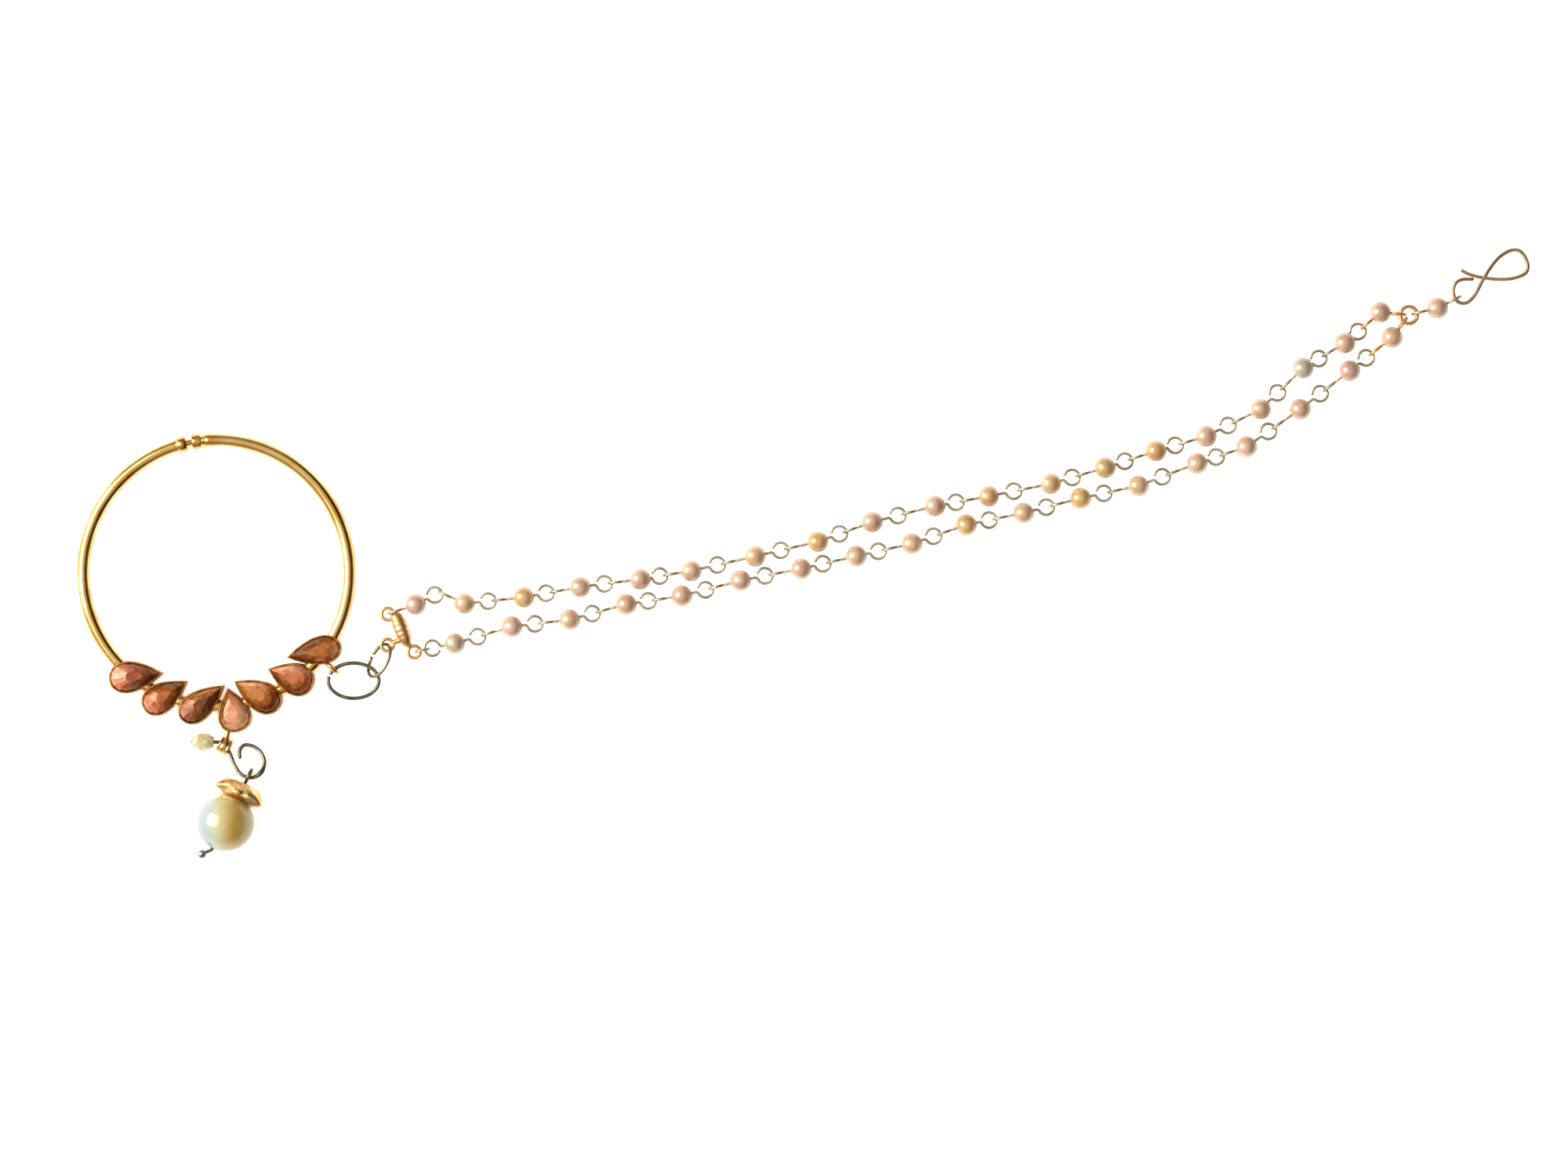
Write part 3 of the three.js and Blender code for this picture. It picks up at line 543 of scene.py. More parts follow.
def stone_finish():
    """Foiled glass: coppery facets with painted light, each painted lighter or darker for the light it would
    catch, clouded, under a clear coat.
    """
    made, tree, shader, place = new_material("foiled peach glass")
    foil_and_painted_light = node(tree, "ShaderNodeAttribute", attribute_name="foil_and_painted_light").outputs["Color"]
    cloud = noise(tree, place, 1.1, 4.0)
    dark = blended(tree, between(tree, cloud, 0.3, 0.0, 0.36, 0.52), foil_and_painted_light, linear("#6E3008"))
    streaks = blended(tree, between(tree, cloud, 0.0, 0.25, 0.5, 0.68), dark, linear("#E08840"))
    tree.links.new(streaks, shader.inputs["Base Color"])
    shader.inputs["Metallic"].default_value = 0.25
    tree.links.new(between(tree, noise(tree, place, 0.4), 0.2, 0.4), shader.inputs["Roughness"])
    shader.inputs["Specular IOR Level"].default_value = 0.3
    shader.inputs["Coat Weight"].default_value = 0.35
    shader.inputs["Coat Roughness"].default_value = 0.1
    return made


def crystal_finish():
    """Clear glass with a breath of cream."""
    made, tree, shader, place = new_material("clear cut glass")
    cream = ramp(tree, noise(tree, place, 1.1), [(0.35, "#ECD698"), (0.65, "#FFF2CC")])
    tree.links.new(cream, shader.inputs["Base Color"])
    shader.inputs["Transmission Weight"].default_value = 0.4
    tree.links.new(between(tree, noise(tree, place, 0.5), 0.03, 0.1), shader.inputs["Roughness"])
    shader.inputs["IOR"].default_value = 1.56
    shader.inputs["Coat Weight"].default_value = 0.6
    return made


def pearl_finish():
    """Lacquered pearl with a painted side-to-side gradient, partly its own overtone and partly painted light:
    blue-white on the lit left, olive gold in painted shade on the far right.
    """
    made, tree, shader, place = new_material("cream pearl lacquer")
    split = node(tree, "ShaderNodeSeparateXYZ", {"Vector": place})
    left, right = (PEARL.x - PEARL_RADIUS) * MM, (PEARL.x + PEARL_RADIUS) * MM
    # Painted light and shade, with some real overtone: the colour runs from the lit left of the pearl to its
    # shaded right
    side = between(tree, split.outputs["X"], 0.0, 1.0, left, right)
    drift = between(tree, noise(tree, place, 4.0), -0.12, 0.12)
    wobble = node(tree, "ShaderNodeMath", {0: drift, 1: side}, operation="ADD")
    stops = [
        (0.0, "#98A2B0"), (0.2, "#A8B2B0"), (0.36, "#C4C8A2"),
        (0.52, "#D2C080"), (0.74, "#CCA048"), (1.0, "#C8B67C"),
    ]
    tree.links.new(ramp(tree, wobble.outputs[0], stops), shader.inputs["Base Color"])
    tree.links.new(between(tree, noise(tree, place, 0.7), 0.18, 0.3), shader.inputs["Roughness"])
    shader.inputs["Coat Weight"].default_value = 0.6
    shader.inputs["Coat Roughness"].default_value = 0.2
    bumped(tree, shader, noise(tree, place, 0.9, 3.0), 0.01)
    return made


def bead_finish():
    """Champagne pearl lacquer. Each bead leans to pink, gold or lilac, and has its own cloudy patches."""
    made, tree, shader, place = new_material("champagne pearl lacquer")
    own = node(tree, "ShaderNodeAttribute", attribute_name="tint").outputs["Fac"]
    cloud = noise(tree, place, 1.7, 3.0)
    stops = [
        (0.0, "#DCB6AE"), (0.25, "#E2B69A"), (0.5, "#EAC29E"),
        (0.72, "#E8B468"), (0.9, "#D6C49E"), (1.0, "#CCC2AA"),
    ]
    base = ramp(tree, own, stops)
    patch = blended(tree, between(tree, cloud, 0.0, 0.55, 0.4, 0.68), base, linear("#C0936A"))
    shine = blended(tree, between(tree, cloud, 0.35, 0.0, 0.3, 0.48), patch, linear("#F0D2BC"))
    tree.links.new(shine, shader.inputs["Base Color"])
    shader.inputs["Metallic"].default_value = 0.2
    tree.links.new(between(tree, noise(tree, place, 0.5), 0.2, 0.34), shader.inputs["Roughness"])
    shader.inputs["Coat Weight"].default_value = 0.8
    shader.inputs["Coat Roughness"].default_value = 0.06
    bumped(tree, shader, noise(tree, place, 0.6, 3.0), 0.012)
    return made


peach_stone = stone_finish()
clear_crystal = crystal_finish()
champagne = bead_finish()


# Hoop
def pear(row, inset, count):
    """Pear outline in the frame, drawn in by an inset. Its point comes first."""
    at, out, points, length, width = row
    full = 8 / (3 * math.sqrt(3))
    slope = math.atan(2 * width / (full * length))
    point, back = length / 2 - inset / math.sin(slope), inset - length / 2
    middle = HOOP + heading(at, HOOP_RADIUS + out)
    along, across = heading(points), heading(points + 90)
    outline = []
    for i in range(count):
        t = 2 * math.pi * i / count
        side = (width - 2 * inset) / full * math.sin(t) * math.sin(t / 2)
        reach = (point + back) / 2 + (point - back) / 2 * math.cos(t)
        outline.append(middle + along * reach + across * side)
    return outline


def level(outline, z):
    return [p + UP * z for p in outline]


def on_hoop(s):
    """A point on the middle line of the tube, s millimetres past the closure."""
    return HOOP + heading(CLOSURE + math.degrees(s / HOOP_RADIUS), HOOP_RADIUS) + UP * TUBE_LEVEL


def bezel(row):
    """A cup whose rim is rubbed over the stone's edge."""
    shape = [
        (0.14, 0.0), (0.03, 0.05), (0.0, 0.16), (0.0, 0.5), (0.05, 0.56), (0.05, 0.66), (0.0, 0.72),
        (0.0, BEZEL_TOP - 0.32), (0.03, BEZEL_TOP - 0.14), (0.1, BEZEL_TOP - 0.03), (0.19, BEZEL_TOP),
        (0.29, BEZEL_TOP - 0.03), (WALL, BEZEL_TOP - 0.12), (WALL, BEZEL_TOP - 0.3), (WALL, CUP_FLOOR),
    ]
    return skin([level(pear(row, inset, 64), z) for inset, z in shape])


def hoop_tube():
    """A collar beside the opening, the tube, and a thin end for the bored collar, less the cups."""
    circumference = 2 * math.pi * HOOP_RADIUS
    left = [(0.0, 0.7), (0.02, 0.92), (0.07, 1.0), (COLLAR_LENGTH - 0.09, 1.0), (COLLAR_LENGTH - 0.02, 0.93)]
    points = [(HALF_GAP + s, COLLAR * share) for s, share in left]
    start = HALF_GAP + COLLAR_LENGTH
    points += [(start, 0.93), (start + 0.12, 0.9)]
    stop = circumference - HALF_GAP - COLLAR_LENGTH
    steps = 260
    first, last = start + 0.4, stop - 1.3
    points += [(first + (last - first) * i / steps, TUBE) for i in range(steps + 1)]
    points += [(stop - 0.58, 0.9), (stop - 0.52, 0.84), (stop - 0.45, 0.71), (stop - 0.06, 0.7), (stop, 0.72)]
    tube = wires(
        "hoop_tube", [([on_hoop(s) for s, _ in points], [r for _, r in points])], 1.0, hoop_gold, 40
    )
    cups = [[level(pear(row, WALL - 0.02, 48), z) for z in (CUP_FLOOR, 4.0)] for row in SETTINGS]
    cutters = merged("cups", [skin(cup) for cup in cups], hoop_gold)
    cut = tube.modifiers.new("cups", "BOOLEAN")
    cut.operation = "DIFFERENCE"
    cut.solver = "EXACT"
    cut.object = cutters
    graph = bpy.context.evaluated_depsgraph_get()
    mesh = bpy.data.meshes.new_from_object(tube.evaluated_get(graph), depsgraph=graph)
    bpy.data.objects.remove(tube)
    bpy.data.objects.remove(cutters)
    return object_of("hoop_tube", mesh, hoop_gold)


def hoop_closure():
    """Bored collar on the closing end, and the post that runs into it."""
    face = on_hoop(-HALF_GAP)
    way = on_hoop(-HALF_GAP - COLLAR_LENGTH) - face
    length = way.length + 0.02
    bore = POST + POST_GAP
    profile = [
        (0.55, bore), (0.08, bore), (0.0, bore + 0.06), (0.0, COLLAR - 0.1), (0.03, COLLAR - 0.03),
        (0.1, COLLAR), (length - 0.1, COLLAR), (length - 0.03, COLLAR - 0.03), (length, COLLAR - 0.12),
        (length, 0.66), (0.9, 0.5), (0.9, bore),
    ]
    collar = skin(lathe(profile, face, way, 40), loop=True)
    post = [on_hoop(s) for s in (0.9, 0.5, 0.2, 0.0, -0.3, -0.6, -0.9, -1.1)]
    pin = wires("post", [rounded(post, POST)], POST, hoop_gold, 24)
    ring = merged("collar", [collar], hoop_gold)
    return joined("hoop_closure", [pin, ring], hoop_gold)


def hoop_loops():
    """Band bail under the middle setting and loop on the last one, each on a short neck."""
    inner, outer, half = 0.8, 1.2, 0.85
    profile = [
        (-half + 0.08, inner), (-half, inner + 0.09), (-half, outer - 0.1), (-half + 0.1, outer),
        (-half + 0.34, outer), (-half + 0.4, outer - 0.07), (-half + 0.46, outer), (0, outer),
        (half - 0.46, outer), (half - 0.4, outer - 0.07), (half - 0.34, outer), (half - 0.1, outer),
        (half, outer - 0.1), (half, inner + 0.09), (half - 0.08, inner),
    ]
    band = merged("band", [skin(lathe(profile, BAIL, heading(BAIL_TURN), 48), loop=True)], hoop_gold)
    middle = HOOP + heading(SETTINGS[3][0], HOOP_RADIUS + SETTINGS[3][1])
    middle.z = BAIL.z
    way = (BAIL - middle).normalized()
    neck = [middle + way * s for s in (1.9, 2.4, 2.9, 3.4, 3.9, (BAIL - middle).length - 1.1)]
    last = HOOP + heading(SETTINGS[6][0], HOOP_RADIUS + SETTINGS[6][1])
    last.z = SIDE_LOOP.z
    out = (SIDE_LOOP - last).normalized()
    radius = 1.08
    side = arc(SIDE_LOOP, radius, radius, 0, 360, 48, out, UP)
    side[-1] = side[0].copy()
    side_neck = [last + out * s for s in (1.2, 1.7, 2.2, (SIDE_LOOP - last).length - radius)]
    necks = wires(
        "necks",
        [(neck, [1.25, 1.1, 0.92, 0.86, 0.95, 1.15]), (side_neck, [1.3, 1.1, 0.9, 0.85])],
        NECK,
        hoop_gold,
        24,
    )
    loop = wires("loop", [side], SIDE_LOOP_WIRE, hoop_gold, 18)
    return joined("hoop_loops", [band, necks, loop], hoop_gold)


piece(hoop_tube(), "hoop_gold", "hoop")
piece(hoop_closure(), "hoop_gold", "hoop")
piece(merged("hoop_settings", [bezel(row) for row in SETTINGS], setting_gold), "hoop_gold", "hoop")
piece(hoop_loops(), "hoop_gold", "hoop")


# Stones
# The tone of each stone's foiled back at its point and at its round end, how light its painted light makes
# it, and the heading of its painted highlight
STONE_TONES_AND_PAINTED_LIGHT = [
    ("#8A4012", "#B85C38", 0.0, 170), ("#C07020", "#A44012", -0.1, 210), ("#B07018", "#84401A", -0.26, 165),
    ("#D07C2C", "#F6B280", 0.27, -15), ("#C0861E", "#B6541E", 0.0, 120), ("#A0540E", "#D26A2C", 0.1, 75),
    ("#7E480A", "#D0701E", -0.2, -5),
]


def stone(index, row, foils, painted_light_lift, painted_highlight_heading):
    """A pear cut with a table, stars, kites and girdle facets over a flat foiled back. Each facet's colour is
    its foiled tone with painted light: a painted highlight on facets facing the highlight's heading, painted
    shade on those facing away.
    """
    n = FACETS
    girdle = pear(row, WALL + CLEARANCE, n)
    middle = sum(girdle, Vector()) / n

    def inner(outline, share, z):
        return [middle + (p - middle) * share + UP * z for p in outline]

    def at_height(share):
        return GIRDLE + (TABLE - GIRDLE) * share

    rings = [
        inner(girdle, 0.94, CUP_FLOOR + 0.12), inner(girdle, 1.0, GIRDLE - 0.14), inner(girdle, 1.0, GIRDLE),
        inner(girdle, 0.88, at_height(0.42)), inner(girdle, 0.66, at_height(0.8)), inner(girdle, 0.36, TABLE),
    ]
    points = [p for ring in rings for p in ring]
    faces = [tuple(range(n - 1, -1, -1))]
    for tier in range(len(rings) - 1):
        for i in range(n):
            j = (i + 1) % n
            a, b, c, d = tier * n + i, tier * n + j, (tier + 1) * n + j, (tier + 1) * n + i
            if tier < 2:
                faces.append((a, b, c, d))
            else:
                faces += [(a, b, d), (b, c, d)] if (i + tier) % 2 == 0 else [(a, b, c), (a, c, d)]
    faces.append(tuple(range(len(points) - n, len(points))))
    mesh = mesh_of("stone_%d_cut" % index, points, faces, smooth=False)
    shades = random.Random(40 + index)
    # Painted light: the direction the painted highlight comes from, round the stone's heading and from above
    lit = heading(painted_highlight_heading, 0.87) + UP * 0.5
    point, end = [linear(code) for code in foils]
    # Colours of the painted highlight and of the painted shade
    light, painted_shade_colour = linear("#FFB88E"), linear("#3E1406")
    way = heading(row[2])
    foil_and_painted_light = []
    for face in mesh.polygons:
        along = ((face.center / MM - middle).dot(way) / row[3] + 0.4) / 0.9
        along = min(1.0, max(0.0, along))
        own = [end[k] + (point[k] - end[k]) * along for k in range(4)]
        # How far each facet is painted toward highlight or toward shade
        shade = 1.5 * (face.normal.dot(lit) - lit.z) + shades.uniform(-0.22, 0.22) + painted_light_lift
        goal, share = (light, min(0.75, shade)) if shade > 0 else (painted_shade_colour, min(0.75, -1.2 * shade))
        foil_and_painted_light += [own[k] + (goal[k] - own[k]) * share for k in range(3)] + [1.0]
    mesh.attributes.new("foil_and_painted_light", "FLOAT_COLOR", "FACE").data.foreach_set("color", foil_and_painted_light)
    return object_of("stone_%d_cut" % index, mesh, peach_stone)


for number, (row, (point, end, painted_light_lift, painted_highlight_heading)) in enumerate(zip(SETTINGS, STONE_TONES_AND_PAINTED_LIGHT), 1):
    piece(stone(number, row, (point, end), painted_light_lift, painted_highlight_heading), "peach_stone", "stone_%d" % number)


# Drop
def drop_level(y):
    return 1.3 + DROP_SLOPE * (0.59 - y)


def drop_at(x, y):
    return Vector((BAIL.x + x, BAIL.y + y, drop_level(y)))


def drop_wire():
    """Open ring with a tail through the bail, half as thick again low on its right side."""
    line = through([drop_at(*p) for p in DROP_PATH], 8)
    points, thick = rounded(line, DROP_WIRE)
    where = [(p - drop_at(5.0, -3.6)).length for p in points]
    thick = [t * (1 + 0.5 * math.exp(-((d / 0.75) ** 2))) for t, d in zip(thick, where)]
    return wires("drop_wire", [(points, thick)], DROP_WIRE, tarnished_wire, 18)


def crystal():
    """Bead with two staggered rows of facets round a bore."""
    half, radius, bore, sides = 1.5, 1.3, 0.475, 8
    centre = drop_at(*CRYSTAL)
    u, v = basis(ALONG_X)

    def ring(s, r, offset):
        turns = [2 * math.pi * (i + offset) / sides for i in range(sides)]
        return [centre + ALONG_X * s + (u * math.cos(t) + v * math.sin(t)) * r for t in turns]

    rows = [
        (-half, 0.78, 0.5), (-0.75, 1.2, 0.0), (0.0, radius, 0.5), (0.75, 1.2, 0.0),
        (half, 0.78, 0.5), (half - 0.08, bore, 0.5), (-half + 0.08, bore, 0.5),
    ]
    points = [p for row in rows for p in ring(*row)]
    faces = []
    for r, (row, after) in enumerate(zip(rows, rows[1:] + rows[:1])):
        a, b = r * sides, (r + 1) % len(rows) * sides
        for i in range(sides):
            j = (i + 1) % sides
            if row[2] == after[2]:
                faces.append((a + i, a + j, b + j, b + i))
            elif row[2] > after[2]:
                faces += [(a + i, b + j, b + i), (a + i, a + j, b + j)]
            else:
                faces += [(a + i, a + j, b + i), (a + j, b + j, b + i)]
    return merged("cut_crystal", [(points, faces)], clear_crystal, smooth=False)


# The middle of the pin's loop, that of the pearl, and the way from the pearl to the loop
LOOP = drop_at(*PIN_PLACE) - heading(PIN_DIRECTION, PIN_LOOP - PIN_WIRE - DROP_WIRE - LINK_GAP)
PIN_LENGTH = PEARL_RADIUS + CAP_OUTLINE[-1][1] + PIN_LOOP + PIN_WIRE + LINK_GAP
RUN = math.sqrt(PIN_LENGTH**2 - (PEARL_RADIUS - LOOP.z) ** 2)
PEARL = LOOP + heading(PIN_DIRECTION, RUN)
PEARL.z = PEARL_RADIUS
AXIS = (LOOP - PEARL).normalized()


def ball_profile(radius, bore, rows, lip=0.12):
    """Half outline of a drilled ball, with a softened edge round the hole, closed on itself."""
    edge = math.asin((bore + lip) / radius)
    turns = [edge + (math.pi - 2 * edge) * i / rows for i in range(rows + 1)]
    outside = [(-radius * math.cos(a), radius * math.sin(a)) for a in turns]
    dip = radius * math.cos(edge)
    return (
        [(-dip + 0.1, bore), (-dip + 0.02, bore + lip * 0.35)]
        + outside
        + [(dip - 0.02, bore + lip * 0.35), (dip - 0.1, bore)]
    )


def petal_cap():
    """Pressed cap: five petals with veins, a crown with a row of grains, and a rolled collar."""
    seat, hole, sides = PEARL_RADIUS + CAP_GAP, PIN_HOLE, 240
    aim = UP.rotation_difference(AXIS)
    outside = [tuple(p) for p in through(CAP_OUTLINE, 7)]
    top = CAP_OUTLINE[-1][1]
    collar = [(0.78, top + 0.03, 0), (0.72, top + 0.06, 0), (hole + 0.07, top + 0.06, 0), (hole, top, 0)]
    edge = math.degrees(math.asin(hole / seat))
    inside = []
    for i in range(9):
        a = math.radians(edge + (CAP_SEAT - edge) * i / 8)
        inside.append((seat * math.sin(a), seat * math.cos(a) - PEARL_RADIUS, 0))
    under = [(2.7, -0.36, 0.3), (3.1, -0.3, 0.6), (3.4, -0.26, 0.85), (3.58, -0.22, 1.0)]

    def relief(out, t):
        """Height of the veins, of the grains round the crown and of the groove outside them."""
        veins = 0.0
        for shift, height in ((0.0, 0.1), (0.14, 0.06), (-0.14, 0.06)):
            near = (t * 5 / (2 * math.pi) + 0.5 - shift) % 1 - 0.5
            veins += height * math.exp(-((near / 0.035) ** 2))
        grains = 0.1 * abs(math.sin(10 * t)) * math.exp(-(((out - 1.75) / 0.2) ** 2))
        groove = -0.07 * math.exp(-(((out - 2.15) / 0.09) ** 2))
        return (veins if out > 2.2 else 0.0) + grains + groove

    rings = []
    for k, (out, up, notch) in enumerate(outside + collar + inside + under):
        made = []
        for i in range(sides):
            t = 2 * math.pi * i / sides
            cut = notch * (1 - (0.5 + 0.5 * math.cos(5 * t)) ** 1.4)
            a = math.radians(CAP_TURN) + t
            r = out - cut * CAP_NOTCH
            h = PEARL_RADIUS + up + cut * CAP_LIFT + (relief(out, t) if 3 < k < len(outside) else 0)
            made.append(PEARL + aim @ Vector((r * math.cos(a), r * math.sin(a), h)))
        rings.append(made)
    return merged("petal_cap", [skin(rings, loop=True)], cap_gold)


def drop_pin():
    """The pin with its loop, and the ball that its bent foot ends in."""
    foot = PEARL - AXIS * (PEARL_RADIUS + LINK_GAP)
    ball = foot + END_BALL
    loop = arc(LOOP, PIN_LOOP, PIN_LOOP, 182, 528, 44, -heading(PIN_DIRECTION), UP)
    rim = LOOP - AXIS * PIN_LOOP
    stem = [rim + (foot - rim) * i / 12 for i in range(12)]
    bend = through([stem[-1], foot, foot + (ball - foot) * 0.35, ball], 6)
    line = rounded(stem[:-1] + bend, PIN_WIRE)
    ring = loop[:-1] + [loop[0].copy()]
    turns = [math.pi * i / 16 for i in range(17)]
    profile = [(-END_BALL_RADIUS * math.cos(a), max(END_BALL_RADIUS * math.sin(a), 0.004)) for a in turns]
    end = merged("end_ball", [skin(lathe(profile, ball, ball - foot, 28))], ball_steel)
    return wires("pearl_pin", [line, ring], PIN_WIRE, tarnished_wire, 16), end


piece(drop_wire(), "pale_wire", "drop_ring")
piece(crystal(), "clear_crystal", "crystal_bead")
cream_pearl = pearl_finish()
pearl_rings = lathe(ball_profile(PEARL_RADIUS, PIN_HOLE, 40), PEARL, AXIS, 64)
pearl = merged("lacquered_pearl", [skin(pearl_rings, loop=True)], cream_pearl)
piece(pearl, "cream_pearl", "drop_pearl")
piece(petal_cap(), "cap_gold", "bead_cap")
for made in drop_pin():
    piece(made, "pale_wire", "drop_pin")


# Links and connector
def cut_ring(centre, length, width, wire, cut_at, opening, across, up):
    """An oval jump ring with a small cut, of a wire given by its radius."""
    a, b = (length - 2 * wire) / 2, (width - 2 * wire) / 2
    line = arc(centre, a, b, cut_at + opening / 2, cut_at + 360 - opening / 2, 72, across, up)
    return rounded(line, wire, (40, 65, 90), 0.3)


chain_line = cut_ring(CHAIN_RING, 7.8, 5.6, CHAIN_WIRE, 165, 2, ALONG_X, ALONG_Y)
piece(wires("chain_jump_ring", [chain_line], CHAIN_WIRE, tarnished_wire, 18), "pale_wire", "chain_ring")

tilt = Matrix.Rotation(math.radians(OVAL_DIRECTION), 3, "Z") @ Matrix.Rotation(math.radians(-46), 3, "X")
oval_line = cut_ring(OVAL, 5.6, 4.1, OVAL_WIRE, 90, 2, tilt @ ALONG_X, tilt @ ALONG_Y)
piece(wires("oval_jump_ring", [oval_line], OVAL_WIRE, pale_wire, 18), "pale_wire", "oval_link")


def eye_ring(centre, radius, across, up, steps=40):
    line = arc(centre, radius, radius, 0, 360, steps, across, up)
    line[-1] = line[0].copy()
    return line


def cast_connector():
    """Small cast bar with a beaded waist and three eyes."""
    way = heading(CONNECTOR_TURN)
    half, radius = 2.8, 1.1
    profile = []
    for i in range(41):
        a = math.pi * i / 40
        s = -half * math.cos(a)
        r = radius * math.sin(a)
        groove = 0.09 * sum(math.exp(-(((s - c) / 0.11) ** 2)) for c in (-1.15, -0.45, 0.45, 1.15))
        profile.append((s, max(r * (1 - groove), 0.004)))
    bar = merged("bar", [skin(lathe(profile, CONNECTOR, way, 40))], cast_gold)
    rings, arms = [], []
    reach = way * half
    for x, y in CONNECTOR_EYES:
        place = Vector((x, y, 0))
        along = max(-0.7, min(0.7, place.dot(reach) / reach.length_squared))
        root = CONNECTOR + reach * along
        centre = CONNECTOR + place
        out = (centre - root).normalized()
        rings.append(eye_ring(centre, CONNECTOR_EYE, out, UP.cross(out)))
        rim = centre - out * CONNECTOR_EYE
        arm = [root + (rim - root) * t for t in (0.0, 0.3, 0.6, 0.85, 1.0)]
        arms.append((arm, [1.2, 1.05, 0.9, 0.8, 0.72]))
    eyes = wires("eyes", rings, CONNECTOR_WIRE, cast_gold, 18)
    necks = wires("necks", arms, NECK, cast_gold, 18)
    return joined("cast_connector", [bar, eyes, necks], cast_gold)


piece(cast_connector(), "cast_gold", "connector")


# Strands
def beads_of(name):
    """Middles of the beads of a CAD strand, from the tops of its beads, in order along it."""
    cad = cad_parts[name]
    tops = sorted((cad.matrix_world @ v.co / MM for v in cad.data.vertices), key=lambda p: p.x)
    groups = []
    for p in tops:
        if p.z < BEAD_TOPS:
            continue
        near = [g for g in groups if (g[0].xy - p.xy).length < 1.6]
        if near:
            near[0].append(p)
        else:
            groups.append([p])
    middles = [sum(g, Vector()) / len(g) for g in groups]
    return [Vector((m.x, m.y, BEAD_RADIUS)) for m in sorted(middles, key=lambda m: m.x)]


def eye_line(centre, bead, upright):
    """The wire of an eye, bent off the pin beside the bead and round to its free end."""
    out = (centre - bead).normalized()
    aside = UP if upright else UP.cross(out)
    loop = arc(centre, EYE_RADIUS, EYE_RADIUS, 206, 540 - EYE_OPENING, EYE_STEPS, out, aside)
    neck = centre - out * EYE_RADIUS
    start = neck - out * 0.32
    return [start.lerp(neck, t).lerp(neck.lerp(loop[0], t), t) for t in (0.0, 0.3, 0.55, 0.8)] + loop


def pin_line(bead, eyes):
    """One eye pin: left eye, straight through the bead, right eye."""
    left, right = [eye_line(centre, bead, upright) for centre, upright in eyes]
    line = left[::-1] + [bead] + right
    return rounded(line, EYE_WIRE, (30, 60, 90))


def toward(bead, at, reach):
    """The middle of a bead's eye, which stays a reach short of the place that holds it."""
    return at - (at - bead).normalized() * reach


def strand_lines(beads, start, end, fold):
    """Eye pins of a strand. start and end are (place, reach, upright)."""
    joints = [((a + b) / 2, EYE_REACH) for a, b in zip(beads, beads[1:])]
    joints[0] = (joints[0][0] + ALONG_Y * fold, EYE_REACH)
    holds = [start[:2]] + joints + [end[:2]]
    lines = []
    for i, bead in enumerate(beads):
        left = (toward(bead, *holds[i]), i > 0 or start[2])
        right = (toward(bead, *holds[i + 1]), i == len(beads) - 1)
        lines.append(pin_line(bead, (left, right)))
    axes = [(toward(b, *holds[i + 1]) - toward(b, *holds[i])).normalized() for i, b in enumerate(beads)]
    return lines, axes


bead_rings = lathe(ball_profile(BEAD_RADIUS, BEAD_HOLE, 18, 0.1), Vector(), ALONG_X, 32)
MASTER = object_of("bead_master", mesh_of("bead_master", *skin(bead_rings, loop=True)))
upper, lower = beads_of("strand_upper"), beads_of("strand_lower")
eye_offsets = [Vector((x, y, 0)) for x, y in CONNECTOR_EYES]
junction = (JUNCTION, JUNCTION_REACH, True)
upper_start = (CONNECTOR + eye_offsets[0], CONNECTOR_REACH, True)
upper_lines, upper_axes = strand_lines(upper, upper_start, junction, UPPER_FOLD)
lower_lines, lower_axes = strand_lines(lower, (SMALL_LINK, SMALL_LINK_REACH, False), junction, 0)
end_eye = toward(END_BEAD, JUNCTION, JUNCTION_REACH)
end_lines = [pin_line(END_BEAD, ((end_eye, True), (HOOK_EYE, True)))]
end_axis = (HOOK_EYE - end_eye).normalized()


def strand(name, beads, lines, axes, seed, node_name):
    """Beads and their wires. The last pin of a long strand has the gold of the ring that holds it."""
    luck = random.Random(seed)
    tints = [min(1.0, max(0.0, luck.gauss(0.48, 0.2))) for _ in beads]
    sizes = [(luck.uniform(0.97, 1.0), s, s) for s in (luck.uniform(0.985, 1.0) for _ in beads)]
    pearls = repeated(name + "_beads", MASTER, beads, axes, tints, champagne, sizes)
    piece(pearls, "champagne_bead", node_name)
    if len(lines) > 1:
        piece(wires(name + "_last_pin", lines[-1:], EYE_WIRE, cast_gold, 10), "cast_gold", node_name)
        lines = lines[:-1]
    piece(wires(name + "_wires", lines, EYE_WIRE, strand_wire, 10), "pale_wire", node_name)


strand("upper_strand", upper, upper_lines, upper_axes, 11, "strand_upper")
strand("lower_strand", lower, lower_lines, lower_axes, 23, "strand_lower")
strand("last", [END_BEAD], end_lines, [end_axis], 5, "end_bead")
bpy.data.objects.remove(MASTER)

link_way = (lower[0] - (CONNECTOR + eye_offsets[1])).normalized()
link_ring = eye_ring(SMALL_LINK, SMALL_LINK_RADIUS, link_way, UP)
piece(wires("small_link", [link_ring], SMALL_LINK_WIRE, strand_wire, 14), "pale_wire", "strand_link")
ring_line = eye_ring(JUNCTION, JUNCTION_RADIUS, ALONG_X, ALONG_Y, 48)
piece(wires("gathering_ring", [ring_line], JUNCTION_WIRE, cast_gold, 18), "cast_gold", "junction_ring")

hook_line = through([Vector((HOOK_EYE.x + x, HOOK_EYE.y + y, z)) for x, y, z in HOOK_PATH], 8)
hook_made = wires("hair_hook_wire", [rounded(hook_line, HOOK_WIRE)], HOOK_WIRE, hook_wire, 18)
piece(hook_made, "hook_wire", "hair_hook")


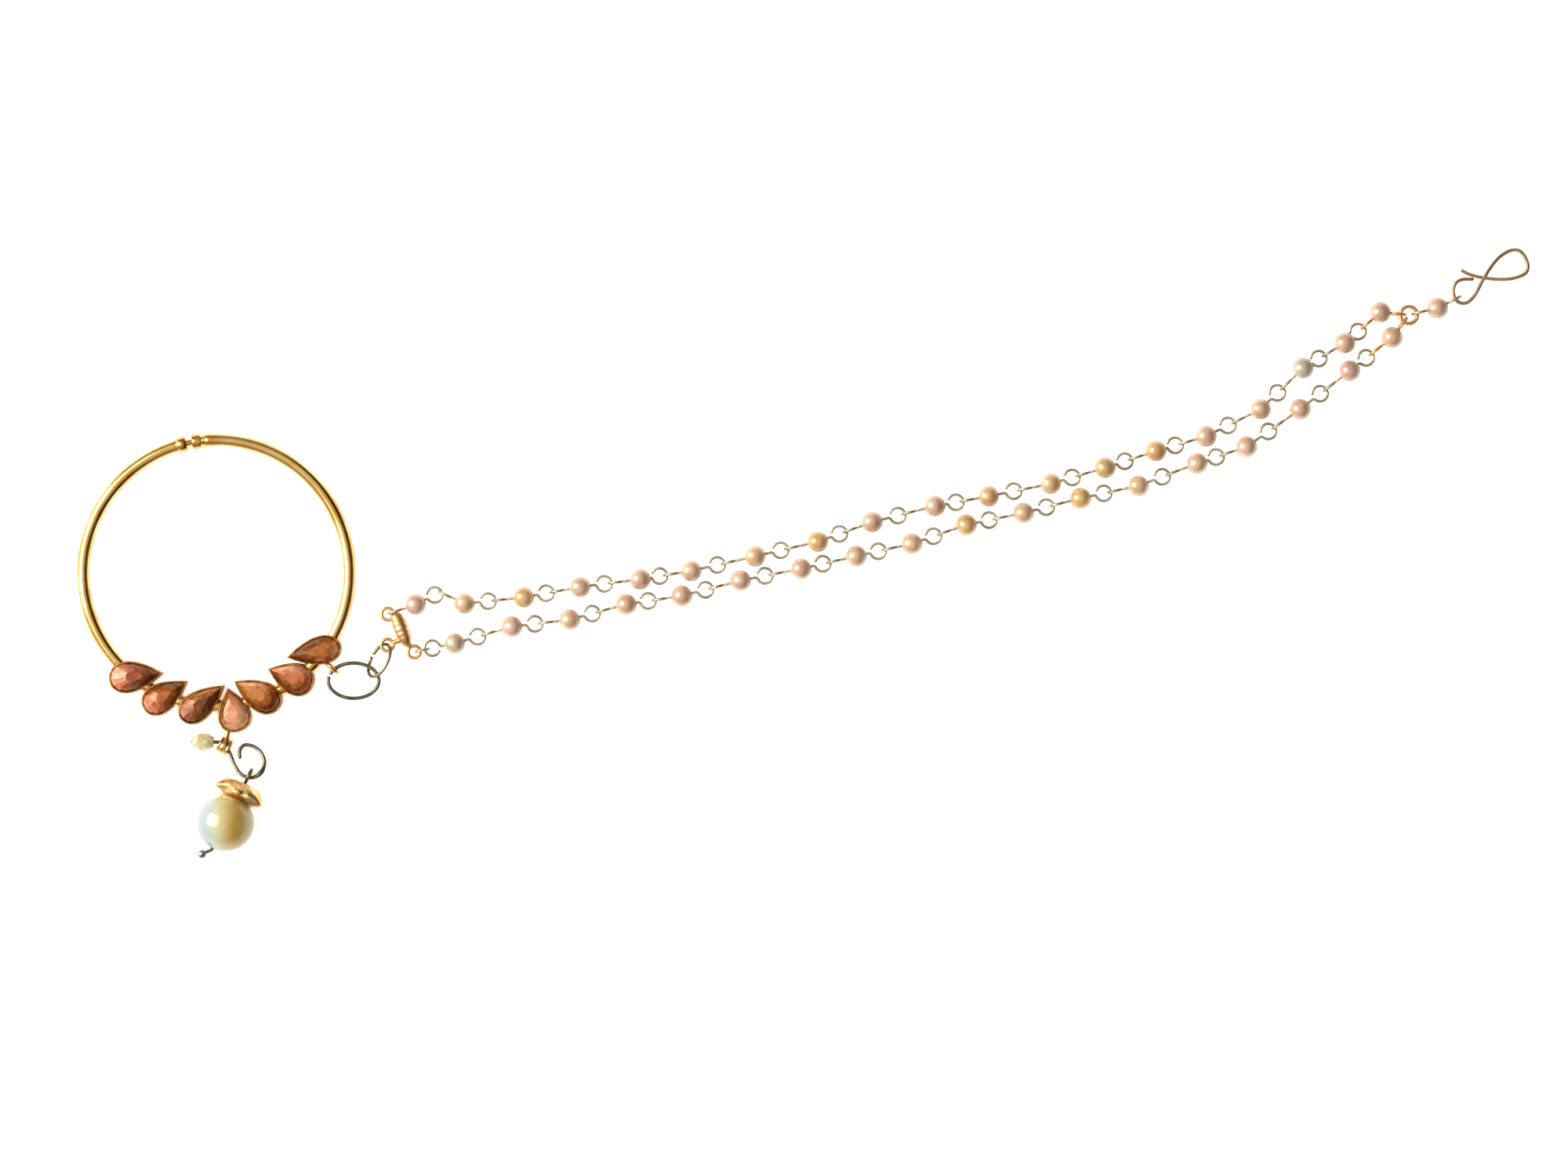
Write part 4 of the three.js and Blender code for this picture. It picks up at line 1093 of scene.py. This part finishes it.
# Floor, light and camera
def floor():
    """White paper, a hair below the part."""
    made, tree, shader, place = new_material("white paper")
    white = ramp(tree, noise(tree, place, 40.0), [(0.3, "#DCDCDA"), (0.7, "#E4E4E2")])
    tree.links.new(white, shader.inputs["Base Color"])
    shader.inputs["Roughness"].default_value = 0.9
    shader.inputs["Specular IOR Level"].default_value = 0.1
    shader.inputs["Emission Color"].default_value = linear("#FFFFFF")
    shader.inputs["Emission Strength"].default_value = 0.8
    half, z = 1500.0, -0.02
    corners = [(-half, -half, z), (half, -half, z), (half, half, z), (-half, half, z)]
    mesh = bpy.data.meshes.new("floor")
    mesh.from_pydata([Vector(c) * MM for c in corners], [], [(0, 1, 2, 3)])
    object_of("floor", mesh, made)


def area_light(name, place, target, size, power, colour):
    lamp = bpy.data.lights.new(name, "AREA")
    lamp.shape = "RECTANGLE"
    lamp.size, lamp.size_y = size
    lamp.energy = power
    lamp.color = linear(colour)[:3]
    made = bpy.data.objects.new(name, lamp)
    made.location = Vector(place)
    made.rotation_euler = (Vector(target) - made.location).to_track_quat("-Z", "Y").to_euler()
    scene.collection.objects.link(made)


def surroundings():
    """A room that is white overhead and on the left, grey before and behind, and dark on the right."""
    world = bpy.data.worlds.new("room")
    world.use_nodes = True
    tree = world.node_tree
    tree.nodes.clear()
    view = node(tree, "ShaderNodeTexCoord").outputs["Generated"]
    way = node(tree, "ShaderNodeSeparateXYZ", {"Vector": view})
    stops = [
        (0.0, "#FFFFFF"), (0.5, "#F8F8F6"), (0.66, "#DCDAD4"),
        (0.75, "#5C564C"), (0.94, "#4A453C"), (1.0, "#A8A294"),
    ]
    side = ramp(tree, between(tree, way.outputs["X"], 0.0, 1.0, -1.0, 1.0), stops)
    ends = node(tree, "ShaderNodeMath", {0: way.outputs["Y"]}, operation="ABSOLUTE")
    dim = between(tree, ends.outputs[0], 1.0, 0.42, 0.2, 0.75)
    grey = node(tree, "ShaderNodeCombineXYZ", {0: dim, 1: dim, 2: dim})
    colour = blended(tree, 1.0, side, grey.outputs[0], "MULTIPLY")
    back = node(tree, "ShaderNodeBackground", {"Color": colour, "Strength": 0.85})
    out = node(tree, "ShaderNodeOutputWorld")
    tree.links.new(back.outputs["Background"], out.inputs["Surface"])
    scene.world = world


def camera():
    """A camera straight above, whose picture is VIEW_WIDTH wide on the floor."""
    seen = bpy.data.cameras.new("camera")
    distance = 0.8
    seen.sensor_width = 36.0
    seen.lens = 36.0 * distance / (VIEW_WIDTH * MM)
    seen.clip_start = 0.01
    made = bpy.data.objects.new("camera", seen)
    made.location = (VIEW_CENTRE.x * MM, VIEW_CENTRE.y * MM, distance)
    scene.collection.objects.link(made)
    scene.camera = made


floor()
surroundings()
area_light("window", (-0.55, 0.1, 0.45), (-0.02, 0, 0), (0.5, 0.6), 5.4, "#FFFFFF")
camera()
scene.view_settings.view_transform = "Standard"
scene.view_settings.exposure = 0.0
